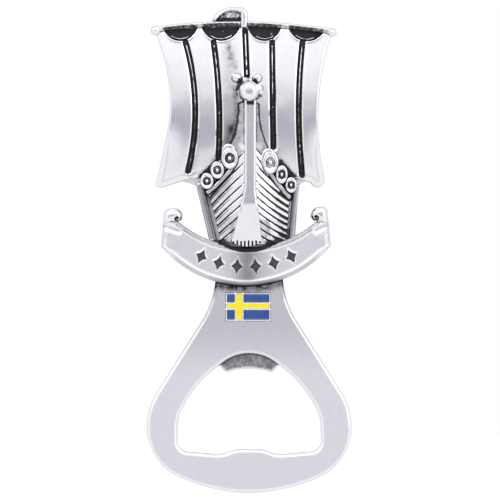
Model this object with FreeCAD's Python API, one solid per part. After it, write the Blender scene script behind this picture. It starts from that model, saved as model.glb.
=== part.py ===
"""Souvenir bottle opener: a long-ship seen bow-on under a square sail, above a ring-shaped cap lifter.

The opener stands upright, +Z up, and its front faces -Y. Shapes are drawn in the plane of the front as
(x, h) points in millimetres: x to the right of the centre line and h above the foot of the ring. Depths
are measured forwards from the flat back of the casting. place() then moves every piece to the final
frame, whose origin is the centre of the magnet's back face.
"""
import FreeCAD, Part
import math
import os

# ---------------------------------------------------------------- driving dimensions, mm
PLATE = 3.6            # thickness of the ring and the neck
BACKING = 2.6          # thickness of the plate behind the hull and the sail
EDGE_ROUND = 0.9       # rounding of the front edges of the ring and the neck
BACK_ROUND = 0.35      # rounding of the back edges
RIM = 0.9              # depth of the step that the sail, hull and banner leave around the plate's back

MAGNET_H = 94.0        # height of the magnet's centre above the foot of the ring
MAGNET_D = 18.0
MAGNET_T = 2.0
MAGNET_PROUD = 0.3     # how far the magnet stands out of the casting's back
GLUE_T = 0.15
CLEAR = 12.0           # a depth in front of everything, where a cut ends
POCKET_PLAY = 0.2      # gap around the magnet, on the radius

NECK_HALF = 8.2        # half width of the neck
TOOTH_T = 1.8          # thickness of the lifting tooth, from the back

SAIL_BELLY = 5.2       # depth of the sail's front where it bellies out furthest
SAIL_BELLY_H = 93.0    # height of that line
SAIL_TOP = 3.4         # depth of the sail's front SAIL_SPAN above it
SAIL_SPAN = 20.0
CHANNEL_DEEP = 0.8     # depth of the seam channels and the scallops below the sail's front
CHANNEL_W = 1.35       # width of the channels
CORD_W = 0.5           # width of the seam cords that lie in them
CORD_LOW = 0.1         # how far the cords stay below the sail's front

YARD_R = 0.6           # radius of the yard
YARD_DEPTH = 3.7       # depth of its axis
HULL_STEM = 6.6        # depth of the planking beside the stem post
HULL_RAIL = 4.3        # and at the side rails
HULL_HALF = 12.0
GROOVE_W = 0.4         # width of the grooves between the planks
RAIL_TOP = 4.9
GUNWALE_TOP = 6.2
GUNWALE_W = 0.9
STEM_TOP = 7.4
HEAD_TOP = 6.5
SNOUT_R = 2.35
SNOUT_LIFT = 1.2       # height of the snout's centre above the face of the head
EAR_R = 1.25
SHIELD_TOP = 6.6
BOSS_R = 0.6
BANNER_TOP = 5.6
SCROLL_TOP = 6.1
CURL_TOP = 4.7
WEB_TOP = 2.9
INLAY_T = 0.4          # depth of the engraved ornaments on the banner
INLAY_LOW = 0.1        # how far their fill stays below the face of the banner

FLAG_LOW, FLAG_HIGH = 41.9, 48.9       # heights of the enamelled panel's frame
FLAG_LEFT, FLAG_RIGHT = -5.8, 5.3
FLAG_POCKET = 0.6      # depth of the panel's pocket in the neck
FLAG_PROUD = 0.1       # how far the metal walls stand out of the neck
ENAMEL_T = 0.45
WALL = 0.3             # thickness of the walls between the cells
FRAME_WALL = 0.42      # thickness of the outer walls
CROSS_X = (-3.2, -1.7)  # the cross's upright
CROSS_H = (45.0, 46.2)  # the cross's arm

# ---------------------------------------------------------------- drawing helpers


def flat(point, depth=0.0):
    """The 3-D point of an (x, h) point at a depth."""
    return FreeCAD.Vector(point[0], -depth, point[1])


def outline(start, *steps):
    """A closed face. A step is a point, for a straight line, or a pair (via, end), for an arc."""
    edges = []
    here = start
    for step in steps:
        if isinstance(step[0], tuple):
            via, end = step
            edges.append(Part.Arc(flat(here), flat(via), flat(end)).toShape())
        else:
            end = step
            edges.append(Part.makeLine(flat(here), flat(end)))
        here = end
    if math.dist(here, start) > 1e-6:
        edges.append(Part.makeLine(flat(here), flat(start)))
    return Part.Face(Part.Wire(edges))


def prism(face, back, front):
    """The solid of a face between two depths."""
    base = face.copy()
    base.translate(FreeCAD.Vector(0, -back, 0))
    return main_solid(base.extrude(FreeCAD.Vector(0, back - front, 0)))


def main_solid(shape):
    """The largest solid of a shape, which drops slivers left by a cut."""
    return max(shape.Solids, key=lambda solid: solid.Volume)


def carved(shape, *cutters):
    """A solid less the pieces that are let into it."""
    flat_list = []
    for cutter in cutters:
        flat_list += cutter if isinstance(cutter, list) else [cutter]
    return main_solid(shape.cut(flat_list))


def circle_through(a, b, c):
    """Centre and radius of the circle through three points."""
    d = 2 * (a[0] * (b[1] - c[1]) + b[0] * (c[1] - a[1]) + c[0] * (a[1] - b[1]))
    sa, sb, sc = (p[0] ** 2 + p[1] ** 2 for p in (a, b, c))
    x = (sa * (b[1] - c[1]) + sb * (c[1] - a[1]) + sc * (a[1] - b[1])) / d
    h = (sa * (c[0] - b[0]) + sb * (a[0] - c[0]) + sc * (b[0] - a[0])) / d
    return (x, h), math.dist((x, h), a)


def band(a, b, c, width):
    """The face of a strip of even width along the arc through three points."""
    centre, radius = circle_through(a, b, c)

    def shifted(p, by):
        k = (radius + by) / radius
        return (centre[0] + k * (p[0] - centre[0]), centre[1] + k * (p[1] - centre[1]))

    half = width / 2
    return outline(
        shifted(a, half), (shifted(b, half), shifted(c, half)),
        shifted(c, -half), (shifted(b, -half), shifted(a, -half)),
    )


def strip(a, b, width):
    """The face of a straight strip."""
    length = math.dist(a, b)
    nx = (b[1] - a[1]) / length * width / 2
    nh = -(b[0] - a[0]) / length * width / 2
    return outline((a[0] + nx, a[1] + nh), (b[0] + nx, b[1] + nh), (b[0] - nx, b[1] - nh), (a[0] - nx, a[1] - nh))


def ellipse(centre, half_w, half_h):
    """The face of an upright ellipse."""
    x, h = centre
    if half_h >= half_w:
        curve = Part.Ellipse(flat((x, h + half_h)), flat((x + half_w, h)), flat(centre))
    else:
        curve = Part.Ellipse(flat((x + half_w, h)), flat((x, h + half_h)), flat(centre))
    return Part.Face(Part.Wire([curve.toShape()]))


def disc(centre, radius, back, front):
    """A round plate or plug between two depths."""
    return Part.makeCylinder(radius, front - back, flat(centre, back), FreeCAD.Vector(0, -1, 0))


def ball(centre, depth, radius):
    return Part.makeSphere(radius, flat(centre, depth))


def in_front_of(shape, depth):
    """The part of a solid that is further forward than a depth."""
    block = Part.makeBox(80, 40, 160, FreeCAD.Vector(-40, -depth - 40, -20))
    return main_solid(shape.common(block))


def bar(start, end, width, height):
    """A square bar between two 3-D points, for cutting a groove."""
    axis = end - start
    box = Part.makeBox(axis.Length, height, width, FreeCAD.Vector(0, -height / 2, -width / 2))
    box.Placement = FreeCAD.Placement(start, FreeCAD.Rotation(FreeCAD.Vector(1, 0, 0), axis))
    return box


# ---------------------------------------------------------------- ring, neck and backing plate
# Corners of the ring and neck, each with the radius that rounds it, up the right side from the foot.
RING_CORNERS = [(9.2, 0.0, 41.0), (25.0, 7.4, 13.0), (25.0, 20.7, 15.7), (NECK_HALF, 47.3, 22.0)]
NECK_TOP = 55.0
# Corners of the ring's opening, up the right side from the pressing hump to the crown.
HUMP_CORNERS = [(3.3, 10.7, 8.0), (6.7, 9.3, 7.0)]
OPENING_CORNERS = [(17.55, 10.25, 2.6), (17.5, 18.5, 10.0), (13.0, 26.95, 29.0)]
OPENING_CROWN = (0.0, 36.6, 10.5)
# The plate behind the hull and the sail.
BACKING_RIGHT = [(NECK_HALF, 54.0), (NECK_HALF, 57.0), (9.9, 61.0), (10.8, 74.6), (16.6, 77.6)]
SAIL_BACK_RIGHT = ((15.6, 95.0), (19.2, 112.0))
SAIL_BACK_LEFT = ((-18.1, 95.0), (-21.2, 77.6))
BACKING_LEFT = [(-11.5, 74.6), (-8.8, 61.0), (-NECK_HALF, 57.0), (-NECK_HALF, 54.0)]


def mirrored(corners):
    """The left side's corners, in the order that continues the outline."""
    return [(-corner[0], *corner[1:]) for corner in reversed(corners)]


def rounded(corners):
    """A closed face of straight sides whose corners (x, h, radius) are tangent arcs."""
    edges = []
    count = len(corners)
    joints = []
    for i, (x, h, radius) in enumerate(corners):
        back = (corners[i - 1][0] - x, corners[i - 1][1] - h)
        ahead = (corners[(i + 1) % count][0] - x, corners[(i + 1) % count][1] - h)
        back = tuple(v / math.hypot(*back) for v in back)
        ahead = tuple(v / math.hypot(*ahead) for v in ahead)
        half = math.acos(max(-1, min(1, back[0] * ahead[0] + back[1] * ahead[1]))) / 2
        reach = radius / math.tan(half)
        sag = radius / math.sin(half) - radius
        mid = (back[0] + ahead[0], back[1] + ahead[1])
        size = math.hypot(*mid)
        start = (x + back[0] * reach, h + back[1] * reach)
        end = (x + ahead[0] * reach, h + ahead[1] * reach)
        via = (x + mid[0] / size * sag, h + mid[1] / size * sag)
        joints.append((start, via, end, radius))
    for i, (start, via, end, radius) in enumerate(joints):
        if radius > 0:
            edges.append(Part.Arc(flat(start), flat(via), flat(end)).toShape())
        following = joints[(i + 1) % count][0]
        if math.dist(end, following) > 1e-6:
            edges.append(Part.makeLine(flat(end), flat(following)))
    return Part.Face(Part.Wire(edges))


def ring_outline():
    top = [(NECK_HALF, NECK_TOP, 0.0), (-NECK_HALF, NECK_TOP, 0.0)]
    return rounded(RING_CORNERS + top + mirrored(RING_CORNERS))


def ring_opening():
    """The hole that takes the bottle cap, with the pressing hump on its lower edge."""
    right = HUMP_CORNERS + OPENING_CORNERS
    return rounded(right + [OPENING_CROWN] + mirrored(right))


def backing_outline():
    return outline(*BACKING_RIGHT, SAIL_BACK_RIGHT, (-21.6, 112.4), SAIL_BACK_LEFT, *BACKING_LEFT)


def tooth_outline():
    """The lifting tooth: a broad root let into the back, and a hollow tip whose two corners hook the cap."""
    return outline((-5.0, 29.55), ((0.0, 30.25), (4.9, 29.55)), ((5.65, 29.5), (6.15, 29.95)), (6.75, 30.65),
                   ((7.3, 31.05), (7.95, 31.1)), (7.95, 38.4), (-7.95, 38.4), (-7.95, 31.0),
                   ((-7.3, 30.95), (-6.8, 30.55)), (-6.25, 29.9), ((-5.75, 29.5), (-5.0, 29.55)))


def front_edges(solid, depth, low, high):
    """The edges of a solid that lie in the plane at a depth, between two heights."""
    picked = []
    for edge in solid.Edges:
        box = edge.BoundBox
        if abs(box.YMin + depth) < 1e-4 and abs(box.YMax + depth) < 1e-4:
            if box.ZMin >= low - 1e-6 and box.ZMax <= high + 1e-6:
                picked.append(edge)
    return picked


def opener_frame(tooth):
    """Ring, neck and backing plate in one casting."""
    ring = prism(ring_outline(), 0, PLATE).cut(prism(ring_opening(), -1, PLATE + 1))
    ring = main_solid(ring)
    ring = ring.makeFillet(EDGE_ROUND, front_edges(ring, PLATE, -1, NECK_TOP - 0.1))
    ring = main_solid(ring)
    ring = main_solid(ring.makeFillet(BACK_ROUND, front_edges(ring, 0, -1, NECK_TOP - 0.1)))
    plate = main_solid(ring.fuse(prism(backing_outline(), 0, BACKING)).removeSplitter())
    pocket = disc((0, MAGNET_H), MAGNET_D / 2 + POCKET_PLAY, 0, MAGNET_T + GLUE_T - MAGNET_PROUD)
    flag_pocket = prism(flag_rectangle(), PLATE - FLAG_POCKET, PLATE + 1)
    return carved(plate, tooth, pocket, flag_pocket)


def magnet_and_glue():
    bottom = MAGNET_T + GLUE_T - MAGNET_PROUD
    glue = disc((0, MAGNET_H), MAGNET_D / 2 - 0.5, bottom - GLUE_T, bottom)
    magnet = disc((0, MAGNET_H), MAGNET_D / 2, -MAGNET_PROUD, bottom - GLUE_T)
    rim = [e for e in magnet.Edges if abs(e.BoundBox.YMax - MAGNET_PROUD) < 1e-4 and e.BoundBox.YLength < 1e-4]
    return magnet.makeChamfer(0.25, rim), glue


# ---------------------------------------------------------------- enamelled panel on the neck


def rectangle(left, right, low, high):
    return outline((left, low), (right, low), (right, high), (left, high))


def flag_rectangle():
    return rectangle(FLAG_LEFT, FLAG_RIGHT, FLAG_LOW, FLAG_HIGH)


def flag_pieces():
    """The cell walls and the five fields of enamel between them."""
    floor = PLATE - FLAG_POCKET
    left, right = FLAG_LEFT + FRAME_WALL, FLAG_RIGHT - FRAME_WALL
    low, high = FLAG_LOW + FRAME_WALL, FLAG_HIGH - FRAME_WALL
    upright = rectangle(*CROSS_X, low, high)
    arm = rectangle(left, right, *CROSS_H)
    cells = {
        "enamel_blue_hoist_top": rectangle(left, CROSS_X[0] - WALL, CROSS_H[1] + WALL, high),
        "enamel_blue_hoist_bottom": rectangle(left, CROSS_X[0] - WALL, low, CROSS_H[0] - WALL),
        "enamel_blue_fly_top": rectangle(CROSS_X[1] + WALL, right, CROSS_H[1] + WALL, high),
        "enamel_blue_fly_bottom": rectangle(CROSS_X[1] + WALL, right, low, CROSS_H[0] - WALL),
    }
    pieces = {name: prism(face, floor, floor + ENAMEL_T) for name, face in cells.items()}
    cross = prism(upright, floor, floor + ENAMEL_T).fuse(prism(arm, floor, floor + ENAMEL_T)).removeSplitter()
    pieces["enamel_yellow_cross"] = main_solid(cross)
    walls = prism(flag_rectangle(), floor, PLATE + FLAG_PROUD)
    wells = [prism(face, floor, PLATE + 1) for face in cells.values()]
    wells += [prism(upright, floor, PLATE + 1), prism(arm, floor, PLATE + 1)]
    wells_solid = wells[0].multiFuse(wells[1:])
    remaining = walls.cut(wells_solid)
    pieces["flag_cell_walls"] = Part.makeCompound(remaining.Solids)
    return pieces


# ---------------------------------------------------------------- banner


def banner_outline():
    return outline(
        (-21.5, 60.2), ((-0.95, 50.6), (19.9, 60.4)), (19.4, 66.3), (17.2, 67.0),
        ((-0.2, 59.7), (-18.0, 66.9)), (-20.9, 66.6),
    )


ORNAMENTS = 6
ORNAMENT_ARC = (-0.7, 80.2, 25.0)      # centre and radius of the line that the ornaments follow
ORNAMENT_STEP = 10.4                    # degrees between neighbours


def ornament_places():
    """Centre and turn of each engraved ornament along the banner."""
    x0, h0, radius = ORNAMENT_ARC
    places = []
    for i in range(ORNAMENTS):
        turn = (i - (ORNAMENTS - 1) / 2) * ORNAMENT_STEP
        angle = math.radians(turn)
        places.append(((x0 + radius * math.sin(angle), h0 - radius * math.cos(angle)), turn))
    return places


def lozenge(half_w, half_h):
    """A four-pointed star with hollow sides, the generic ornament of the banner."""
    k = 0.37
    return outline(
        (half_w, 0), ((half_w * k, half_h * k), (0, half_h)), ((-half_w * k, half_h * k), (-half_w, 0)),
        ((-half_w * k, -half_h * k), (0, -half_h)), ((half_w * k, -half_h * k), (half_w, 0)),
    )


def banner_inlays(depth_low, depth_high):
    inlays = []
    for (x, h), turn in ornament_places():
        face = lozenge(1.35, 1.9)
        face.rotate(FreeCAD.Vector(0, 0, 0), FreeCAD.Vector(0, -1, 0), turn)
        face.translate(FreeCAD.Vector(x, 0, h))
        inlays.append(prism(face, depth_low, depth_high))
    return inlays


def scroll(centre, side):
    """The rolled end of the banner: a round roll with a spiral groove in its face."""
    x, h = centre
    roll = prism(ellipse(centre, 2.2, 1.75), RIM, SCROLL_TOP)
    groove = [prism(band((x - 0.9 * side, h - 0.9), (x + 0.1 * side, h + 0.9), (x + 1.2 * side, h - 0.4), 0.35),
                    SCROLL_TOP - 0.8, SCROLL_TOP + 1)]
    return carved(roll, groove)


# ---------------------------------------------------------------- hull, stem, figurehead and shields
STEM = [(-1.15, 96.0), (-1.15, 75.0), (-2.3, 69.1), (-4.3, 61.3), ((-0.6, 60.15), (3.1, 61.3)), (2.3, 68.6),
        (1.7, 74.0), (1.7, 96.0)]
NOTCHES = 8
NOTCH_PITCH = 0.92
HULL_LEFT = [(0.3, 60.4), (0.3, 96.5), (-2.2, 94.8), (-2.7, 90.0), (-5.0, 84.6), (-12.9, 76.6), (-12.9, 75.2),
             (-9.9, 62.2), (-6.5, 60.8)]
HULL_RIGHT = [(0.3, 60.4), (7.5, 60.8), (11.2, 62.6), (12.1, 75.5), (12.0, 76.8), (4.6, 84.6), (2.8, 90.0),
              (2.2, 94.8), (0.3, 96.5)]
RAIL_LEFT = ((-12.2, 75.8), (-10.6, 69.0), (-9.0, 62.4))
RAIL_RIGHT = ((11.6, 75.4), (10.9, 69.0), (10.5, 62.9))
RAIL_W = (1.7, 1.35)
GUNWALE_LEFT = ((-10.6, 72.9), (-6.6, 76.5), (-2.0, 82.2))
GUNWALE_RIGHT = ((10.3, 71.6), (5.7, 77.3), (2.4, 83.2))
PLANK_STARTS_LEFT = (83.6, 81.1, 78.5, 76.0, 73.6, 71.3, 68.9, 66.6)
PLANK_STARTS_RIGHT = (80.7, 78.7, 76.6, 74.7, 72.8, 71.0, 69.2, 67.4, 65.6, 63.8)
PLANK_RUN = 10.5
PLANK_DROP_LEFT = 10.6
PLANK_DROP_RIGHT = 9.2
SHIELDS_LEFT = [((-4.73, 81.65), 2.03, 2.6), ((-7.77, 78.77), 1.64, 2.11), ((-10.36, 76.17), 1.6, 1.96)]
SHIELDS_RIGHT = [((5.12, 80.78), 1.94, 2.84), ((7.96, 77.69), 1.42, 2.23), ((10.24, 75.12), 1.37, 1.92)]
BOW_SHIELDS = {"left": ((-5.0, 82.95), 1.75, 2.35), "right": ((4.7, 81.4), 1.9, 2.75)}
BOW_SHIELD_TOP = 5.9   # these are mostly hidden behind the first shield of each side


def hull_half(points, side, starts, drop):
    """One side of the bow: planking that slopes back from the stem, with a groove at each plank's edge."""
    middle = 0.3
    edge = side * HULL_HALF + middle
    section = [(middle, -RIM), (edge + side, -RIM), (edge + side, -HULL_RAIL), (edge, -HULL_RAIL),
               (middle + side, -HULL_STEM), (middle, -HULL_STEM)]
    corners = [FreeCAD.Vector(x, y, 55) for x, y in section]
    block = Part.Face(Part.makePolygon(corners + corners[:1])).extrude(FreeCAD.Vector(0, 0, 45))
    hull = prism(outline(*points), RIM, CLEAR).common(block)
    slope = (HULL_RAIL - HULL_STEM) / (HULL_HALF - 1)
    grooves = []
    for start in starts:
        inner = flat((middle + side, start), HULL_STEM)
        outer = flat((middle + side * (1 + PLANK_RUN), start - drop), HULL_STEM + slope * PLANK_RUN)
        grooves.append(bar(inner, outer, GROOVE_W, 1.0))
    return carved(main_solid(hull), grooves)


def stem_post():
    post = prism(outline(*STEM), BACKING, STEM_TOP)
    front = [e for e in front_edges(post, STEM_TOP, 61.6, 96) if e.BoundBox.ZLength > 2]
    post = main_solid(post.makeChamfer(0.45, front))
    notches = []
    for i in range(NOTCHES):
        x = (i - (NOTCHES - 1) / 2) * NOTCH_PITCH - 0.6
        notches.append(prism(strip((x, 59.8), (x, 61.6), 0.35), STEM_TOP - 1.0, STEM_TOP + 1))
    return carved(post, notches)


def shield(centre, half_w, half_h):
    """A round shield hung on the rail, seen at a slant, with its rim groove."""
    body = prism(ellipse(centre, half_w, half_h), BACKING, SHIELD_TOP)
    outer = prism(ellipse(centre, half_w * 0.72, half_h * 0.72), SHIELD_TOP - 0.4, SHIELD_TOP + 1)
    inner = prism(ellipse(centre, half_w * 0.46, half_h * 0.46), SHIELD_TOP - 1, SHIELD_TOP + 2)
    return carved(body, main_solid(outer.cut(inner)))


def boss(centre):
    return in_front_of(ball(centre, SHIELD_TOP, BOSS_R), SHIELD_TOP)


def ear(centre):
    return main_solid(disc(centre, EAR_R, BACKING, HEAD_TOP).fuse(ball(centre, HEAD_TOP, EAR_R)))


# ---------------------------------------------------------------- sail, yard, mast and seams
SCALLOPS = [((-20.8, 113.2), (-16.8, 110.4), (-12.7, 113.6)), ((-11.6, 113.8), (-6.85, 110.4), (-2.2, 113.9)),
            ((-0.3, 114.0), (3.75, 110.4), (7.8, 113.8)), ((9.7, 113.5), (13.9, 110.3), (18.2, 112.6))]
SEAMS = [((-15.55, 110.0), (-13.15, 93.6), (-14.9, 78.6)), ((-8.7, 110.0), (-7.3, 93.6), (-7.5, 82.0)),
         ((5.6, 110.0), (5.75, 94.1), (5.9, 84.3)), ((13.0, 110.0), (12.1, 94.8), (12.9, 77.6))]
MAST = ((-1.0, 113.0), (-0.55, 101.7))
YARD = ((-22.9, 113.2), (-0.5, 114.5), (20.4, 112.6))
YARD_KNOBS = (1.2, 1.0)


def sail_outline():
    return outline(
        (-22.9, 75.1), ((-21.9, 74.6), (-20.4, 74.8)), (-14.3, 76.8), (12.3, 76.6), (15.0, 75.7),
        ((17.9, 75.1), (18.4, 76.9)), ((16.95, 95.3), (19.3, 109.3)), (20.4, YARD[2][1]),
        (YARD[1], YARD[0]), (-21.85, 109.3), ((-19.35, 95.3), (-20.15, 87.2)),
    )


def belly(below=0.0):
    """The space behind the sail's bellied front, or behind a surface a little below that front."""
    sagitta = SAIL_BELLY - SAIL_TOP
    radius = (SAIL_SPAN ** 2 + sagitta ** 2) / (2 * sagitta)
    end = FreeCAD.Vector(-40, radius - SAIL_BELLY, SAIL_BELLY_H)
    return Part.makeCylinder(radius - below, 80, end, FreeCAD.Vector(1, 0, 0))


def sail_sheet():
    """The sail: a sheet that bellies out, with channels at its seams and scallops under the yard."""
    sheet = prism(sail_outline(), RIM, SAIL_BELLY + 2).common(belly())
    wells = [prism(band(*seam, CHANNEL_W), RIM, CLEAR) for seam in SEAMS]
    wells.append(prism(strip(*MAST, CHANNEL_W), RIM, CLEAR))
    wells += [prism(outline(a, (b, c)), RIM, CLEAR) for a, b, c in SCALLOPS]
    floor = belly(CHANNEL_DEEP)
    return main_solid(main_solid(sheet).cut([well.cut(floor) for well in wells]))


def cord(face):
    """A cord that lies on the floor of a channel or a scallop."""
    strand = prism(face, RIM, CLEAR).common(belly(CORD_LOW))
    return main_solid(strand.cut(belly(CHANNEL_DEEP)))


def scallop_cord(a, b, c):
    """The rope sewn along the lower edge of a scallop, a little inside it."""
    centre, radius = circle_through(a, b, c)
    inside = 0.55
    r = radius - inside
    middle = math.atan2(b[0] - centre[0], centre[1] - b[1])
    points = []
    for turn in (-0.62, 0.0, 0.62):
        points.append((centre[0] + r * math.sin(middle + turn), centre[1] - r * math.cos(middle + turn)))
    return cord(band(*points, 0.4))


def yard_rod():
    path = Part.Wire([Part.Arc(*(flat(p, YARD_DEPTH) for p in YARD)).toShape()])
    start = flat(YARD[0], YARD_DEPTH)
    direction = path.Edges[0].tangentAt(path.Edges[0].FirstParameter)
    section = Part.Wire([Part.Circle(start, direction, YARD_R).toShape()])
    return main_solid(path.makePipeShell([section], True, True))


def stern_curl():
    """The curled stern post that rises behind the yard, and the bar that comes down in front of it."""
    hook = outline(
        (-9.1, 115.3), ((-7.0, 117.75), (-2.7, 118.5)), ((-0.95, 118.0), (-0.3, 116.0)), (-0.4, 113.4),
        (-2.1, 113.4), (-2.1, 117.2), ((-5.4, 117.3), (-8.1, 115.3)),
    )
    return prism(hook, RIM + 0.6, CURL_TOP)


def stern_web():
    """The thin plate inside the curl."""
    return prism(outline((-8.2, 115.2), ((-5.4, 117.4), (-2.0, 117.3)), (-2.0, 113.8), (-8.4, 113.6)),
                 RIM + 0.6, WEB_TOP)


# ---------------------------------------------------------------- assembly


def build():
    pieces = {}
    tooth = prism(tooth_outline(), 0, TOOTH_T)
    frame = opener_frame(tooth)
    pieces["opener_frame"] = frame
    pieces["lifter_tooth"] = tooth
    pieces["magnet"], pieces["magnet_adhesive"] = magnet_and_glue()
    pieces.update(flag_pieces())

    shields, bosses, bow_shields = {}, {}, {}
    for side, row in (("left", SHIELDS_LEFT), ("right", SHIELDS_RIGHT)):
        for number, (centre, half_w, half_h) in enumerate(row, 1):
            shields[f"shield_{side}_{number}"] = shield(centre, half_w, half_h)
            bosses[f"shield_boss_{side}_{number}"] = boss(centre)
        hidden = prism(ellipse(*BOW_SHIELDS[side]), BACKING, BOW_SHIELD_TOP)
        bow_shields[f"shield_bow_{side}"] = hidden
    bow_shields = {name: carved(body, *shields.values()) for name, body in bow_shields.items()}
    ears = {"ear_left": ear((-3.05, 101.3)), "ear_right": ear((1.95, 101.2))}
    stem = carved(stem_post(), frame)
    head = prism(ellipse((0.1, 98.6), 4.3, 3.1), BACKING, HEAD_TOP)
    snout = in_front_of(ball((0.1, 98.4), HEAD_TOP + SNOUT_LIFT, SNOUT_R), HEAD_TOP)
    head = carved(head, stem, *ears.values())
    snout = carved(snout, stem, *ears.values())

    gunwales, rails, hulls = {}, {}, {}
    for side, line in (("left", GUNWALE_LEFT), ("right", GUNWALE_RIGHT)):
        strake = prism(band(*line, GUNWALE_W), BACKING, GUNWALE_TOP)
        gunwales[f"gunwale_{side}"] = carved(strake, *shields.values(), *bow_shields.values(), stem, frame)
    for side, line, width in (("left", RAIL_LEFT, RAIL_W[0]), ("right", RAIL_RIGHT, RAIL_W[1])):
        rail = prism(band(*line, width), RIM, RAIL_TOP)
        rails[f"side_rail_{side}"] = carved(rail, *gunwales.values(), *shields.values(), frame)
    done = [stem, head, *ears.values(), *shields.values(), *bow_shields.values(), *gunwales.values()]
    done += [*rails.values(), frame]
    hulls["hull_left"] = carved(hull_half(HULL_LEFT, -1, PLANK_STARTS_LEFT, PLANK_DROP_LEFT), *done)
    hulls["hull_right"] = carved(hull_half(HULL_RIGHT, 1, PLANK_STARTS_RIGHT, PLANK_DROP_RIGHT), *done)
    ship = {"stem_post": stem, "figurehead": head, "figurehead_snout": snout}
    ship |= ears | shields | bow_shields | bosses | gunwales | rails | hulls

    inlays = banner_inlays(BANNER_TOP - INLAY_T, BANNER_TOP - INLAY_LOW)
    wells = banner_inlays(BANNER_TOP - INLAY_T, BANNER_TOP + 1)
    scrolls = {"banner_scroll_left": scroll((-18.9, 67.8), -1), "banner_scroll_right": scroll((17.1, 68.0), 1)}
    banner = prism(banner_outline(), RIM, BANNER_TOP)
    banner = carved(banner, wells, *scrolls.values(), *ship.values(), frame)
    pieces["banner"] = banner
    pieces["banner_inlays"] = Part.makeCompound(inlays)
    pieces.update(scrolls)
    pieces.update(ship)

    yard = yard_rod()
    curl = carved(stern_curl(), yard)
    web = carved(stern_web(), yard, curl)
    knobs = {}
    for side, centre, radius in (("left", YARD[0], YARD_KNOBS[0]), ("right", YARD[2], YARD_KNOBS[1])):
        knobs[f"yard_knob_{side}"] = ball(centre, YARD_DEPTH, radius)
    yard = carved(yard, *knobs.values())
    sail = carved(sail_sheet(), *ship.values(), yard, curl, web, *knobs.values(), frame)
    ropes = {f"scallop_cord_{i}": carved(scallop_cord(*s), yard) for i, s in enumerate(SCALLOPS, 1)}
    cords = {}
    for number, seam in enumerate(SEAMS, 1):
        cords[f"seam_cord_{number}"] = carved(cord(band(*seam, CORD_W)), *ropes.values(), *ship.values())
    mast = carved(cord(strip(*MAST, CORD_W)), yard, curl, *ears.values(), head, *ropes.values())
    pieces.update(sail=sail, yard=yard, mast=mast, stern_curl=curl, stern_web=web)
    pieces.update(knobs)
    pieces.update(ropes)
    pieces.update(cords)
    return pieces


def place(shape):
    """A piece in the final frame: the origin is the centre of the magnet's back face."""
    moved = shape.copy()
    moved.translate(FreeCAD.Vector(0, -MAGNET_PROUD, -MAGNET_H))
    return moved


os.makedirs("parts", exist_ok=True)
for name, shape in build().items():
    placed = place(shape)
    placed.exportStep(f"parts/{name}.step")
    print(f"{name}: {placed.Volume:.2f} mm3, {len(placed.Solids)} solid(s), valid {placed.isValid()}")
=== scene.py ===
"""Looks for the souvenir bottle opener: a cast ring with a long-ship relief in antique silver.

Shapes are drawn as in the CAD model: (x, h) points in millimetres, x to the right of the centre line and
h above the foot of the ring, with depths measured forwards from the flat back of the casting. place()
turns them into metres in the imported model's frame. Most pieces are reliefs: an outline whose front is a
height map, with a rounded edge, walls and a flat back.
"""

import math

import bpy
import numpy as np
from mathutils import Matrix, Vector
from mathutils.bvhtree import BVHTree
from mathutils.geometry import delaunay_2d_cdt, tessellate_polygon
from mathutils.kdtree import KDTree


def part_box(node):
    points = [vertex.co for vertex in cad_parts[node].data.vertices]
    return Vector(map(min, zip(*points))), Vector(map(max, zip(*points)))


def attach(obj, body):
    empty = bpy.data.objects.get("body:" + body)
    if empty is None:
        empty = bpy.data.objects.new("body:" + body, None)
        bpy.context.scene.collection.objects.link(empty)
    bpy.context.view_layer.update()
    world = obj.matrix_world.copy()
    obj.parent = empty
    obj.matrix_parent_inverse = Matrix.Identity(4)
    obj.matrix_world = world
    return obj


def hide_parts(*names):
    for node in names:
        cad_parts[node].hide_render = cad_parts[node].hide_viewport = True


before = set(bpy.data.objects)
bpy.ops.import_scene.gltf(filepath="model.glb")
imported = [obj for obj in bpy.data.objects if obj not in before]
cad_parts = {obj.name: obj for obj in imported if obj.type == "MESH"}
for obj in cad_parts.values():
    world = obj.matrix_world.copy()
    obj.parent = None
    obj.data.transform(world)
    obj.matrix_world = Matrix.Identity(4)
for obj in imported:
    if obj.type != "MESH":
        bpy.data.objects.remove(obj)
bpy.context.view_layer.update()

# ---- driving values, mm
MM = 0.001
TAU = math.tau
STEP = 0.3                 # spacing of the points along an outline
FINE = 0.2                 # and along the outlines of small pieces
CREASE = math.radians(42)  # edges that turn more than this stay sharp
FOOT_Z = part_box("opener_frame")[0][2]
BACK_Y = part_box("opener_frame")[1][1]

RIM = 0.9                  # depth of the backs of the sail, the hull and the banner
SEAT = 2.4                 # depth of the backs of the pieces that sit on the backing plate
SAIL_BELLY = 5.2
SAIL_BELLY_H = 93.0
SAIL_TOP = 3.4
SAIL_SPAN = 20.0
CHANNEL_W = 1.35
CHANNEL_DEEP = 0.8
STEM_TOP = 7.4
HULL_STEM = 6.1
HULL_RAIL = 4.5
HULL_HALF = 11.0
KEEL_X = 0.3               # the hull's ridge line
RAIL_TOP = 4.9
STRAKE_TOP = 5.6
SHIELD_TOP = 6.6
BOW_SHIELD_TOP = 5.9
BANNER_TOP = 5.6
BANNER_FOOT = ((-21.5, 60.2), (-0.95, 50.6), (19.9, 60.4))     # the arc of its lower edge
BANNER_HEAD = ((19.4, 66.3), (-0.2, 60.05), (-20.9, 66.6))     # and of its upper one
BEVEL_W = 1.1              # width of the banner's bevel
BEVEL_DROP = 0.9
YARD_DEPTH = 3.7
YARD_R = 0.66

# ---- drawing in the plane of the front


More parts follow.
